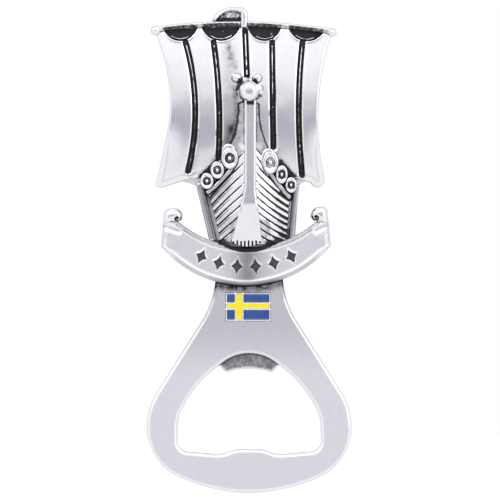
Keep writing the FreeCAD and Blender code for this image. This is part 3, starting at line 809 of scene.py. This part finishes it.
# ---- hull
STEM = [(-1.15, 96.0), (-1.15, 75.0), (-2.3, 69.1), (-4.3, 61.3), ((-0.6, 60.15), (3.1, 61.3)), (2.3, 68.6),
        (1.7, 74.0), (1.7, 96.0)]
STEM_X = 0.28              # centre line of the stem
NOTCHES = 8
NOTCH_PITCH = 0.92
NOTCH_DEEP = 0.6
STEM_BEVEL = 0.45          # drop and width of the bevel along the stem's sides
STEM_BEVEL_W = 0.5
FOOT_BEND = 70.6           # height where the stem bends back
FOOT_LEAN = 0.155          # and how steeply its foot leans below
HULL_RIMS = {
    -1: [(0.3, 60.4), (0.3, 96.5), (-2.8, 95.2), ((-3.0, 91.4), (-3.75, 87.4)), (-5.0, 84.6), (-12.9, 76.6),
         (-12.9, 75.2), (-9.9, 62.2), (-6.5, 60.8)],
    1: [(0.3, 60.4), (7.5, 60.8), (11.2, 62.6), (12.1, 75.5), (12.0, 76.8), (4.7, 84.4),
        ((3.0, 89.4), (2.65, 95.0)), (0.3, 96.5)],
}
PLANKS = {-1: (83.6, 81.1, 78.5, 76.0, 73.6, 71.3, 68.9, 66.6),
          1: (84.6, 82.6, 80.7, 78.7, 76.6, 74.7, 72.8, 71.0, 69.2, 67.4, 65.6, 63.8)}
PLANK_CURVES = {-1: (-5.0, -4.6, -10.5, -10.6), 1: (5.0, -4.7, 10.5, -8.2)}
PLANK_FAN = {-1: 0.012, 1: 0.026}         # how much flatter each plank runs for each mm further down
GUNWALES = {-1: ((-10.4, 73.1), (-6.6, 76.5), (-3.4, 80.35)), 1: ((10.1, 71.9), (5.7, 77.3), (3.75, 80.6))}
RAILS = {-1: ((-12.2, 75.8), (-10.6, 69.0), (-8.75, 61.5)), 1: ((11.6, 75.4), (10.9, 69.0), (10.4, 62.1))}
RAIL_HALF = {-1: 0.85, 1: 0.68}
PLANK_ENDS = {-1: ((-10.1, 73.0), (-8.2, 66.9), (-6.9, 60.0)), 1: ((9.85, 73.0), (9.5, 67.5), (9.0, 60.0))}
PLANK_TILT = {-1: 0.095, 1: 0.115}      # how much each plank rises towards its lower edge
SIDE = {-1: "left", 1: "right"}
SECOND_LINE = 0.5         # distance of each plank's fine second line from its groove
SECOND_DARK = {-1: 0.85, 1: 0.3}
GROOVE_FLARE = {-1: 0.1, 1: 0.3}        # how much wider the grooves' tarnish gets outwards
GROOVE_DEEP = 0.26
GROOVE_HALF = 0.24
SHEER_DROP = 1.8          # how far the ledge above the shields lies below the planks
STRAKE_HALF = 0.5
PLANK_WIDEST = 1.6
PROW_FRONT = 5.6           # depth of the plain prow at a height of 90 mm
PROW_LEAN = 0.045
SHEER = {-1: ((-4.73, 82.6), (-10.36, 76.9)), 1: ((5.12, 81.6), (10.24, 75.9))}
FOOT_GRIME = path((5.8, 60.9), (9.4, 63.6))


def plank_lines(side):
    """The grooves between the planks of one side, from the stem outwards."""
    dx1, dh1, dx2, dh2 = PLANK_CURVES[side]
    start = KEEL_X + side * 1.0
    lines = []
    for h in PLANKS[side]:
        flat = 1 + PLANK_FAN[side] * (h - 78.0)
        via, end = (start + dx1, h + dh1 * flat), (start + dx2, h + dh2 * flat)
        lines.append(arc((start, h), via, end, step=FINE))
    return lines


def hull_front(points, inset, side, lines):
    """Depth of one side of the hull, which falls back from the stem, plank by plank."""
    x, h = points.T
    away = np.maximum(np.abs(x - KEEL_X) - 1, 0)
    depth = HULL_STEM - away * (HULL_STEM - HULL_RAIL) / (HULL_HALF - 1)
    planked = 1 - beyond_planks(points, side)
    under = np.full(len(points), PLANK_WIDEST)
    for line in lines:
        gap, along = nearest(points, line)
        below = inside_strip(points, line, side) > 0
        under = np.where(below, np.minimum(under, gap), under)
        depth -= GROOVE_DEEP * groove(gap, GROOVE_HALF) * ease(along, 0.5, 1.6) * planked
    depth += PLANK_TILT[side] * (under - PLANK_WIDEST / 2) * planked
    depth -= 0.35 * (1 - planked) * ease(h, 77.0, 74.0)
    depth -= 0.3 * ease(h, 70.0, 60.0) + 0.6 * ease(h, 67.0, 61.0) * ease(away, 4.0, 2.6)
    depth -= SHEER_DROP * over_shields(points, side)
    prow = PROW_FRONT - PROW_LEAN * (h - 90.0)
    depth += ease(h, 83.5, 85.5) * (prow - depth)
    return np.maximum(depth - rounding(inset, 0.25 if side < 0 else 0.45), RIM + 0.3)


def hull_patina(points, inset, side, lines):
    """Black in the grooves and beside the strake, mottled at the foot, and painted shade on the prow,
    mottled on its left side.
    """
    x, h = points.T
    beyond = beyond_planks(points, side)
    marks = np.zeros(len(points))
    for line in lines:
        gap, along = nearest(points, line)
        width = 0.3 + GROOVE_FLARE[side] * ease(along, 3.0, 9.0)
        marks += 1.1 * groove(gap, width) * ease(along, 0.2, 3.0) * (1 - beyond)
        second = np.abs(gap - SECOND_LINE) * inside_strip(points, line, side)
        strength = SECOND_DARK[side] * ease(along, 3.0, 7.0)
        marks += strength * groove(second, 0.22) * (second > 0) * (1 - beyond)
    marks += 0.1 * ease(np.abs(x - KEEL_X), 4.0, 9.0) * ease(h, 84.0, 80.0)
    marks += 0.15 * beyond * ease(h, 77.0, 74.0)
    beside = np.abs(nearest(points, arc(*GUNWALES[side], step=FINE))[0] - STRAKE_HALF)
    marks += 1.0 * groove(beside, 0.4)
    marks += 1.2 * over_shields(points, side)
    # painted shade on the prow beside the stem, mottled on the left, and dark along the prow's edge
    prow = 0.16 if side > 0 else 0.34 + 0.2 * ripple(points, 2.0, 41)
    marks += prow * ease(h, 82.0, 86.0)
    marks += 0.75 * (1 - ease(inset, 0.2, 0.65)) * ease(h, 83.0, 85.5)
    marks += 0.38 * smudge(points, FOOT_GRIME, 0.9) * (side > 0)
    marks += 0.8 * ease(h, 62.4, 61.0) * ease(np.abs(x), 2.0, 5.0)
    return marks


def hull_veil(points, side):
    """Painted shade: a grey cast on the prow, beyond the planks' ends and, on the left, around the strake.
    """
    x, h = points.T
    darkened = 0.4 * beyond_planks(points, side) * ease(h, 77.0, 74.0)
    if side < 0:
        strake = arc(*GUNWALES[side], step=FINE)
        darkened += 0.34 * (1 - ease(nearest(points, strake)[0], 1.5, 4.5)) * ease(-x, 3.0, 6.0)
        return darkened + 0.3 * ease(h, 83.0, 87.0)
    return darkened + 0.4 * ease(h, 81.5, 86.0)


def make_hull(side):
    lines = plank_lines(side)
    follow = []
    for line in lines:
        follow += rows(line, 0.0, 0.12, 0.24, 0.38, SECOND_LINE, 0.62)
    relief(f"hull_planks_{SIDE[side]}", f"hull_{SIDE[side]}", outline(*HULL_RIMS[side]),
           lambda p, i: hull_front(p, i, side, lines), RIM, edge=0.25, follow=follow, step=0.4,
           patina=lambda p, i: hull_patina(p, i, side, lines), veil=lambda p, i: hull_veil(p, side))


def beyond_planks(points, side):
    """0 on the planks of one side and 1 in the channel between their ends and the rail."""
    ends = arc(*PLANK_ENDS[side], step=FINE)
    edge = np.interp(-points[:, 1], -ends[:, 1], ends[:, 0])
    return ease((points[:, 0] - edge) * side, -0.1, 0.2)


def over_shields(points, side):
    """1 on the ledge above the row of shields, and 0 below them."""
    (x0, h0), (x1, h1) = SHEER[side]
    away = (points[:, 1] - h0) - (points[:, 0] - x0) * (h1 - h0) / (x1 - x0)
    return ease(away, -0.3, 0.3) * ease(np.abs(points[:, 0]), 4.2, 5.2)


def inside_strip(points, line, side):
    """1 for points below a groove, 0 above it."""
    heights = np.interp(points[:, 0] * side, line[:, 0] * side, line[:, 1])
    return (points[:, 1] < heights).astype(float)


def make_rails():
    for side, name in SIDE.items():
        rail = arc(*RAILS[side], step=FINE)
        half = RAIL_HALF[side]
        slab(f"rail_{name}", f"side_rail_{name}", band(rail, half), RAIL_TOP, RIM, 0.45, follow=[rail],
             step=0.35, veil=lambda p, i: rail_veil(p, side, rail, half))
        strake = arc(*GUNWALES[side], step=FINE)
        slab(f"strake_{name}", f"gunwale_{name}", band(strake, STRAKE_HALF), STRAKE_TOP, SEAT, 0.25,
             follow=[strake],
             patina=lambda p, i: 0.34 + 0.12 * ripple(p, 1.5, 61) + 0.8 * (1 - ease(i, 0.0, 0.16)))


def rail_veil(points, side, rail, half):
    """Painted shade: dark along the rail's edges, and over a wider band of its outer half."""
    centre = np.interp(-points[:, 1], -rail[:, 1], rail[:, 0])
    inner = (centre - points[:, 0]) * side / half
    edges = 0.56 * ease(inner, 0.0, 0.6) + 0.55 * ease(inner, -0.7, -0.95)
    return 0.26 + edges + 0.05 * ripple(points, 2.5, 60)


def make_stem():
    rim = outline(*STEM, step=0.2)
    places = [(i - (NOTCHES - 1) / 2) * NOTCH_PITCH - 0.6 for i in range(NOTCHES)]
    notches = [straight((x, 59.8), (x, 61.3), 0.12) for x in places]

    def front(points, inset):
        below = FOOT_BEND - points[:, 1]
        lean = FOOT_LEAN * (below + np.sqrt(below ** 2 + 0.16)) / 2
        bevel = STEM_BEVEL * (1 - np.minimum(inset / STEM_BEVEL_W, 1)) * ease(points[:, 1], 68.5, 71.5)
        depth = STEM_TOP - lean - bevel - rounding(inset, 0.12)
        for line in notches:
            depth -= NOTCH_DEEP * groove(nearest(points, line)[0], 0.2)
        return depth

    def patina(points, inset):
        x, h = points.T
        marks = 1.3 * ease(h, 94.2, 95.1) * (1 - ease(np.abs(x - STEM_X), 0.7, 1.1))
        for line in notches:
            marks += 1.5 * groove(nearest(points, line)[0], 0.32)
        return marks

    follow = [inward(rim, STEM_BEVEL_W), inward(rim, STEM_BEVEL_W + 0.1)]
    for line in notches:
        follow += rows(line, 0.0, 0.1, 0.2, 0.32)
    relief("stem_bar", "stem_post", rim, front, SEAT, edge=0.12, follow=follow, step=0.35, patina=patina)


# ---- shields
SHIELDS = {
    "left_1": ((-4.73, 81.65), 2.03, 2.6), "left_2": ((-7.77, 78.77), 1.64, 2.11),
    "left_3": ((-10.3, 76.1), 1.6, 1.96), "right_1": ((5.2, 80.6), 1.92, 2.8),
    "right_2": ((7.96, 77.69), 1.42, 2.23), "right_3": ((10.24, 75.12), 1.37, 1.92),
}
BOW_SHIELDS = {"left": ((-5.0, 82.95), 1.75, 2.35), "right": ((4.7, 81.4), 1.9, 2.75)}
RING_W, RING_H = 0.6, 0.52    # the sunk middle of a shield, as a share of its half axes
BOSS_SHARE = 0.42             # the boss, as a share of the sunk middle
BOSS_HIGH = 0.22              # how far it stands out past the shield's rim


def make_shield(key):
    centre, half_w, half_h = SHIELDS[key]
    ring_w, ring_h = half_w * RING_W, half_h * RING_H

    def ring(points):
        return np.hypot((points[:, 0] - centre[0]) / ring_w, (points[:, 1] - centre[1]) / ring_h)

    def front(points, inset):
        r = ring(points)
        width = 0.42 * half_w
        crown = np.clip(1 - ((inset - width * 0.5) / (width * 0.5)) ** 2, 0, 1)
        swell = 0.35 * np.where(r > 1, np.sqrt(crown), 0) + 0.1
        swell = np.where(r > 1.0, swell, 0.1)
        return SHIELD_TOP - 0.45 + swell - 0.2 * ease(r, 0.42, 0.55) * (1 - ease(r, 0.85, 1.02))

    def patina(points, inset):
        r = ring(points)
        ring_line = bell(r - 0.9, 0.13) + 0.5 * bell(r - 0.45, 0.1)
        fill = {"left_1": 0.5, "right_1": 0.3}.get(key, 0.42)
        line = 0.5 if key == "right_1" else 0.9
        return line * ring_line + fill * (1 - ease(r, 0.8, 1.0)) + 0.6 * (1 - ease(inset, 0.0, 0.12))

    turns = [ellipse(centre, ring_w * k, ring_h * k, 0.15) for k in (0.4, 0.48, 0.56, 0.82, 0.92, 1.03)]
    relief(f"shield_disc_{key}", f"shield_{key}", ellipse(centre, half_w, half_h, 0.18), front, SEAT,
           follow=turns, step=0.26, patina=patina)
    if key.endswith("1"):
        name = key[:-2]
        slab(f"shield_disc_{name}_bow", f"shield_bow_{name}", ellipse(*BOW_SHIELDS[name], 0.2),
             BOW_SHIELD_TOP, SEAT, 0.4)
    boss = ellipse(centre, ring_w * BOSS_SHARE, ring_h * BOSS_SHARE, 0.12)
    slab(f"shield_stud_{key}", f"shield_boss_{key}", boss, SHIELD_TOP + BOSS_HIGH, SHIELD_TOP - 0.6,
         ring_w * 0.38, step=0.18)


# ---- figurehead
HEAD_BASE = 4.9            # depth of the casting's front at its edge
HEAD_SWELL = 1.4           # and how much further it comes out behind the snout
EAR_TOP = 7.5
SNOUT_TOP = 10.25
SNOUT = (0.05, 97.95)


def make_head():
    def head_front(points, inset):
        away = np.hypot((points[:, 0] - 0.1) / 4.3, (points[:, 1] - 98.4) / 3.4)
        swell = HEAD_SWELL * (1 - ease(away, 0.2, 1.0))
        return HEAD_BASE + swell + 0.12 * ripple(points, 1.5, 71) - rounding(inset, 0.4)

    def snout_front(points, inset):
        x, h = (points - SNOUT).T
        return SNOUT_TOP - x ** 2 / 7.8 - (h - 0.1) ** 2 / 18.0 - rounding(inset, 1.5)

    def head_patina(points, inset):
        x, h = points.T
        return np.where(x < 0, 0.6, 0.3) + 0.45 * ripple(points, 1.7, 72) + 0.3 * ease(h, 98.0, 96.0)

    head = smoothed(outline((-3.9, 100.2), (-4.0, 97.4), (-2.9, 95.3), (2.5, 95.2), (3.6, 97.0),
                            (3.6, 99.6), (2.2, 101.4), (-1.8, 101.6)), 2)
    relief("head_casting", "figurehead", head, head_front, SEAT, edge=0.4, patina=head_patina)
    relief("head_snout", "figurehead_snout", ellipse(SNOUT, 2.45, 2.5, 0.2), snout_front, SEAT + 2,
           edge=1.5, step=0.22, patina=lambda p, i: 0.9 * (1 - ease(i, 0.0, 0.2)))
    for name, spot in (("left", (-3.05, 101.35)), ("right", (2.0, 101.25))):
        relief(f"head_ear_{name}", f"ear_{name}", ellipse(spot, 1.2, 1.1, step=0.18),
               lambda p, i: EAR_TOP - rounding(i, 0.95) + 0.1 * ripple(p, 1.2, 75), SEAT, edge=0.95,
               step=0.2, patina=lambda p, i: 0.2 + 0.3 * ripple(p, 1.0, 76) + 0.3 * (1 - ease(i, 0.0, 0.3)))


# ---- banner
BANNER_RIM = outline(BANNER_FOOT[0], BANNER_FOOT[1:], BANNER_HEAD[0], (17.2, 67.0),
                     (BANNER_HEAD[1], (-18.0, 66.9)), BANNER_HEAD[2], step=FINE)
END_W = 1.9                # width over which the banner's ends curve back
END_DROP = 0.5
ORNAMENTS = 6
ORNAMENT_ARC = (-0.7, 80.2, 25.0)
ORNAMENT_STEP = 10.4
HOLLOW = 0.37              # how far the ornaments' sides bend in
WELL_DEEP = 0.45
FILL_LOW = 0.24            # depth of the fill's surface below the banner's face
FOLDS = [path((-20.6, 64.9), (-19.0, 64.6), (-17.0, 63.9)), path((18.9, 65.2), (17.8, 64.9), (16.2, 64.0))]


def ornament_rims(grow=0.0):
    """Outlines of the engraved four-pointed ornaments along the banner."""
    x0, h0, radius = ORNAMENT_ARC
    w, v = 1.35 + grow, 1.9 + grow
    bw, bv = w * HOLLOW, v * HOLLOW
    star = outline((w, 0), ((bw, bv), (0, v)), ((-bw, bv), (-w, 0)), ((-bw, -bv), (0, -v)),
                   ((bw, -bv), (w, 0)), step=0.15)
    rims = []
    for i in range(ORNAMENTS):
        turn = math.radians((i - (ORNAMENTS - 1) / 2) * ORNAMENT_STEP)
        spin = np.array([[math.cos(turn), math.sin(turn)], [-math.sin(turn), math.cos(turn)]])
        rims.append(star @ spin + (x0 + radius * math.sin(turn), h0 - radius * math.cos(turn)))
    return rims


def make_banner():
    wells = ornament_rims()
    head_line, foot_line = arc(*BANNER_HEAD), arc(*BANNER_FOOT)

    def in_upper_half(points):
        return nearest(points, head_line)[0] < nearest(points, foot_line)[0]

    def front(points, inset):
        ends = 1 - ease(np.abs(points[:, 0] + 0.7), 17.5, 20.5)
        width = BEVEL_W * (0.3 + 0.7 * ends)
        bevel = BEVEL_DROP * (1 - np.minimum(inset / width, 1))
        depth = BANNER_TOP - bevel + 0.02 * ripple(points, 4.0, 81)
        depth += 0.1 * bell(inset - width, 0.2)
        depth -= END_DROP * (np.maximum(END_W - banner_end(points), 0) / END_W) ** 2
        for fold in FOLDS:
            depth -= 0.35 * smudge(points, fold, 0.55)
        for rim in wells:
            gap = signed(points, rim)
            depth += 0.08 * bell(gap - 0.16, 0.14)
            depth -= WELL_DEEP * channel(gap, 0.0, 0.12)
        return depth - rounding(inset, 0.15)

    def patina(points, inset):
        x, upper = points[:, 0], in_upper_half(points)
        shadow = 1.45 * np.maximum(1 - ((x + 0.3) / 7.8) ** 2, 0)
        marks = 1.3 * upper * ease(inset, shadow, shadow - 0.2)
        marks += 0.2 * upper * (1 - ease(inset, 0.7, 1.05)) * (1 - ease(np.abs(x), 8.0, 11.0))
        for rim in wells:
            marks += 0.8 * channel(signed(points, rim), -0.03)
        return marks

    def veil(points, inset):
        x, upper = points[:, 0], in_upper_half(points)
        middle = 1 - ease(np.abs(x + 0.3), 5.0, 10.0)
        # painted shade and reflection on the bevels: grey on the upper one, and darker in the middle of the
        # lower one
        bevel = (1 - ease(inset, BEVEL_W - 0.3, BEVEL_W - 0.1)) * ease(banner_end(points), 1.5, 4.5)
        face = ease(inset, BEVEL_W, BEVEL_W + 0.2)
        darkened = bevel * np.where(upper, 0.22, 0.33 + (0.24 + 0.35 * ease(inset, 0.5, 0.2)) * middle)
        # tarnish: a darker face around the middle ornaments
        darkened += face * (0.48 * bell(x + 0.4, 2.8) + 0.1 * (1 - ease(np.abs(x), 3.0, 9.0)))
        # painted shade in the folds
        for fold in FOLDS:
            darkened += 0.35 * smudge(points, fold, 0.45)
        return darkened

    follow = [inward(BANNER_RIM, by) for by in (0.6, 0.85, 1.0, 1.1, 1.2, 1.4)]
    for rim in wells:
        follow += [rim] + [inward(rim, by) for by in (0.1, -0.08, -0.18, -0.3)]
    relief("banner_ribbon", "banner", BANNER_RIM, front, RIM, material=RIBBON, edge=0.15, follow=follow,
           step=0.4, patina=patina, veil=veil)


def banner_end(points):
    """Distance from the nearer end of the banner."""
    x, h = points.T
    left, right = (np.interp(h, (foot[1], head[1]), (foot[0], head[0]))
                   for foot, head in ((BANNER_FOOT[0], BANNER_HEAD[2]), (BANNER_FOOT[2], BANNER_HEAD[0])))
    return np.minimum(x - left, right - x)


def make_inlays():
    """The dark fill of the ornaments, as one mesh of six parts."""
    vertices, faces = [], []
    for rim in ornament_rims(-0.05):
        some, those, *_ = relief_mesh(
            rim, lambda p, i: BANNER_TOP - FILL_LOW + 0.05 * ripple(p, 0.7, 90) - rounding(i, 0.1),
            BANNER_TOP - 1.0, 0.1, [], 0.22)
        base = len(vertices)
        vertices += [tuple(v) for v in some]
        faces += [tuple(base + i for i in face) for face in those]
    add_piece("banner_enamel", vertices, faces, "banner_inlays", "black_fill")


SCROLLS = {
    -1: [(-21.0, 65.4), (-20.8, 67.9), ((-20.1, 69.1), (-18.7, 69.4)), ((-17.0, 69.1), (-16.3, 67.9)),
         ((-16.5, 66.8), (-17.6, 66.4)), (-19.2, 66.0)],
    1: [(19.3, 65.4), (19.1, 68.6), ((18.5, 69.7), (17.2, 69.8)), ((15.8, 69.4), (15.1, 68.1)),
        ((15.3, 66.8), (16.4, 66.5)), (17.8, 66.0)],
}
SCROLL_EYES = {-1: (-17.5, 67.0), 1: (16.3, 67.3)}
SCROLL_TOP = 6.1


def make_scroll(side):
    """A rolled end of the banner: a turn of ribbon around a dark spiral."""
    def eye_and_spiral(points):
        """Distances from the scroll's eye and from the spiral around it."""
        x, h = (points - SCROLL_EYES[side]).T
        r = np.hypot(x, h)
        turn = (np.arctan2(h, -side * x) - 0.4) % TAU
        return r, np.abs(r - 0.28 * np.exp(0.2 * turn))

    def front(points, inset):
        r, gap = eye_and_spiral(points)
        depth = SCROLL_TOP - rounding(inset, 1.5)
        depth -= 0.5 * bell(gap, 0.2) * (1 - ease(r, 1.0, 1.4))
        return depth - 0.5 * (1 - ease(r, 0.1, 0.45))

    def patina(points, inset):
        r, gap = eye_and_spiral(points)
        return 1.1 * bell(gap, 0.22) * (1 - ease(r, 0.9, 1.3)) + 0.9 * (1 - ease(r, 0.1, 0.4))

    rim = smoothed(outline(*SCROLLS[side], step=0.2), 1)
    relief(f"scroll_{SIDE[side]}", f"banner_scroll_{SIDE[side]}", rim, front, RIM, edge=1.4, step=0.2,
           patina=patina)


# ---- tooth and enamel
TOOTH_T = 1.8
CROSS_X = (-3.2, -1.7)
CROSS_H = (45.0, 46.2)
FRAME_HALF = 0.24          # half the width of the walls around the panel
WALL_HALF = 0.28           # and of those inside it
WALL_OUT = 0.15            # distance of a wall's middle from its cell
WALL_HIGH = 0.55


def make_tooth():
    rim = outline((-5.0, 29.55), ((0.0, 30.25), (4.9, 29.55)), ((5.65, 29.5), (6.15, 29.95)), (6.75, 30.65),
                  ((7.3, 31.05), (7.95, 31.1)), (7.95, 38.4), (-7.95, 38.4), (-7.95, 31.0),
                  ((-7.3, 30.95), (-6.8, 30.55)), (-6.25, 29.9), ((-5.75, 29.5), (-5.0, 29.55)), step=FINE)

    def front(points, inset):
        return TOOTH_T - rounding(inset, 0.3) + 0.02 * ripple(points, 1.2, 95)

    # painted highlight along the tooth's lower lip, which the tooth's material turns pale
    def patina(points, inset):
        return (1 - ease(inset, 0.25, 0.55)) * ease(points[:, 1], 33.0, 31.6)

    relief("tooth_blade", "lifter_tooth", rim, front, 0.02, "tooth_steel", step=0.35, patina=patina)


def make_walls():
    """The rounded metal walls around the cells of enamel."""
    rim = box_rim(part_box("flag_cell_walls"))
    level = (BACK_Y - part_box("flag_cell_walls")[0][1]) / MM
    low, high = rim.min(axis=0), rim.max(axis=0)
    (x0, x1), (h0, h1) = CROSS_X, CROSS_H
    lines = [straight((x, low[1]), (x, high[1]), 0.15) for x in (x0 - WALL_OUT, x1 + WALL_OUT)]
    lines += [straight((low[0], h), (high[0], h), 0.15) for h in (h0 - WALL_OUT, h1 + WALL_OUT)]

    def front(points, inset):
        ridge = ridge_height(np.abs(inset - FRAME_HALF), FRAME_HALF)
        x, h = points.T
        upright, level_bar = (x > x0) & (x < x1), (h > h0) & (h < h1)
        for k, line in enumerate(lines):
            crossing = upright if k > 1 else level_bar
            wall = ridge_height(nearest(points, line)[0], WALL_HALF)
            ridge = np.maximum(ridge, np.where(crossing, 0, wall))
        return level - WALL_HIGH + WALL_HIGH * ridge

    follow = [inward(rim, by) for by in (0.08, 0.16, 0.24, 0.32, 0.4, 0.48)]
    for line in lines:
        follow += rows(line, 0.0, 0.1, 0.2, 0.28)
    relief("flag_walls", "flag_cell_walls", rim, front, level - 0.65, edge=0.05, follow=follow)


def ridge_height(gap, half):
    """1 on the crown of a rounded ridge and 0 beside it."""
    return np.sqrt(np.maximum(1 - (gap / half) ** 2, 0))


def make_enamel():
    """Enamel that climbs a little up the walls of its cell."""
    for node in [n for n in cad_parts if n.startswith("enamel_blue")]:
        pool(node, node, box_rim(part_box(node)), "enamel_blue")
    left, right, foot, top = sides(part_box("enamel_yellow_cross"))
    (x0, x1), (h0, h1) = CROSS_X, CROSS_H
    cross = outline((left, h0), (x0, h0), (x0, foot), (x1, foot), (x1, h0), (right, h0), (right, h1),
                    (x1, h1), (x1, top), (x0, top), (x0, h1), (left, h1), step=FINE)
    pool("enamel_yellow", "enamel_yellow_cross", cross, "enamel_yellow")


def sides(box_of):
    """Left, right, foot and top of a node's box, in millimetres."""
    low, high = box_of
    return low[0] / MM, high[0] / MM, (low[2] - FOOT_Z) / MM, (high[2] - FOOT_Z) / MM


def box_rim(box_of):
    left, right, foot, top = sides(box_of)
    return outline((left, foot), (right, foot), (right, top), (left, top), step=FINE)


def pool(name, node, rim, slot):
    level = (BACK_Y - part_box(node)[0][1]) / MM
    relief(f"{name}_pool", node, rim, lambda p, i: level - 0.04 + 0.06 * np.exp(-i / 0.3),
           level - 0.45, slot)


# ---- the stage
AIM_X, AIM_H = 0.2, 59.3       # the point that the camera looks at
VIEW_W = 122.5                 # width of the view at the opener
CAMERA_AWAY = 1000.0
SENSOR = 36.0
FLOOR_HALF = 0.3               # metres
ROOM = colour(1.03, 1.02, 1.04)
BEHIND = colour(0.74, 0.73, 0.75)
OVERHEAD = colour(1.2, 1.19, 1.21)
OPENING = colour(0.42, 0.41, 0.48)
WHITE = colour(1.0, 1.0, 1.0)


def make_camera():
    data = bpy.data.cameras.new("camera")
    data.sensor_width = SENSOR
    data.lens = SENSOR * CAMERA_AWAY / VIEW_W
    camera = new_object("camera", data)
    camera.location = place([(AIM_X, AIM_H)], CAMERA_AWAY)[0]
    camera.rotation_euler = (math.pi / 2, 0, 0)
    bpy.context.scene.camera = camera


def make_world():
    """A white studio with one soft grey opening in front of the opener."""
    world = bpy.data.worlds.new("studio")
    world.use_nodes = True
    bpy.context.scene.world = world
    s = Nodes(world.node_tree)
    way = s.node("TexCoord").outputs["Generated"]
    parts = s.node("SeparateXYZ", None, Vector=way).outputs
    opening = s.rise(parts["Z"], 0.05, 0.11, 1.0, 0.0)
    front = s.rise(parts["Y"], -0.5, -0.3, 1.0, 0.0)
    for edge in (s.rise(parts["Z"], -0.21, -0.09), s.rise(parts["X"], -0.55, -0.4),
                 s.rise(parts["X"], 0.4, 0.55, 1.0, 0.0), front):
        opening = s.math("MULTIPLY", opening, edge)
    room = s.blend(s.rise(parts["Y"], -0.1, 0.8), ROOM, BEHIND)
    room = s.blend(s.math("MULTIPLY", s.rise(parts["Z"], 0.12, 0.5), front), room, OVERHEAD)
    room = s.blend(opening, room, OPENING)
    seen = s.node("LightPath").outputs["Is Camera Ray"]
    background = s.node("Background", None, Color=s.blend(seen, room, WHITE))
    s.join(s.node("OutputWorld").inputs["Surface"], background.outputs[0])


def make_light(name, spot, size, power):
    data = bpy.data.lights.new(name, "AREA")
    data.size = size
    data.energy = power
    light = new_object(name, data)
    light.location = spot
    light.rotation_euler = (-Vector(spot)).to_track_quat("-Z", "Y").to_euler()


def make_floor():
    s = Shader("pale_floor")
    cloud = s.noise(0.02, 3)
    pale = s.blend(cloud, colour(0.93, 0.93, 0.93), colour(0.96, 0.96, 0.96))
    material = s.finish(Base_Color=pale, Roughness=0.7, Emission_Color=pale, Emission_Strength=0.35)
    z = FOOT_Z - 0.2 * MM
    half = FLOOR_HALF
    mesh = bpy.data.meshes.new("floor")
    mesh.from_pydata([(-half, -half, z), (half, -half, z), (half, half, z), (-half, half, z)], [],
                     [(0, 1, 2, 3)])
    mesh.materials.append(material)
    floor = new_object("floor", mesh)
    floor.visible_glossy = False


make_camera()
make_world()
make_light("key", (-0.5, -0.8, 0.7), 0.5, 4.0)
make_light("fill", (0.7, -0.7, 0.35), 0.6, 1.5)
make_floor()
bpy.context.scene.view_settings.view_transform = "Standard"

make_sail()
make_cords()
make_yard()
make_stern()
for side in SIDE:
    make_hull(side)
    make_scroll(side)
make_rails()
make_stem()
for key in SHIELDS:
    make_shield(key)
make_head()
make_banner()
make_inlays()
make_tooth()
make_walls()
make_enamel()
add_cavity()
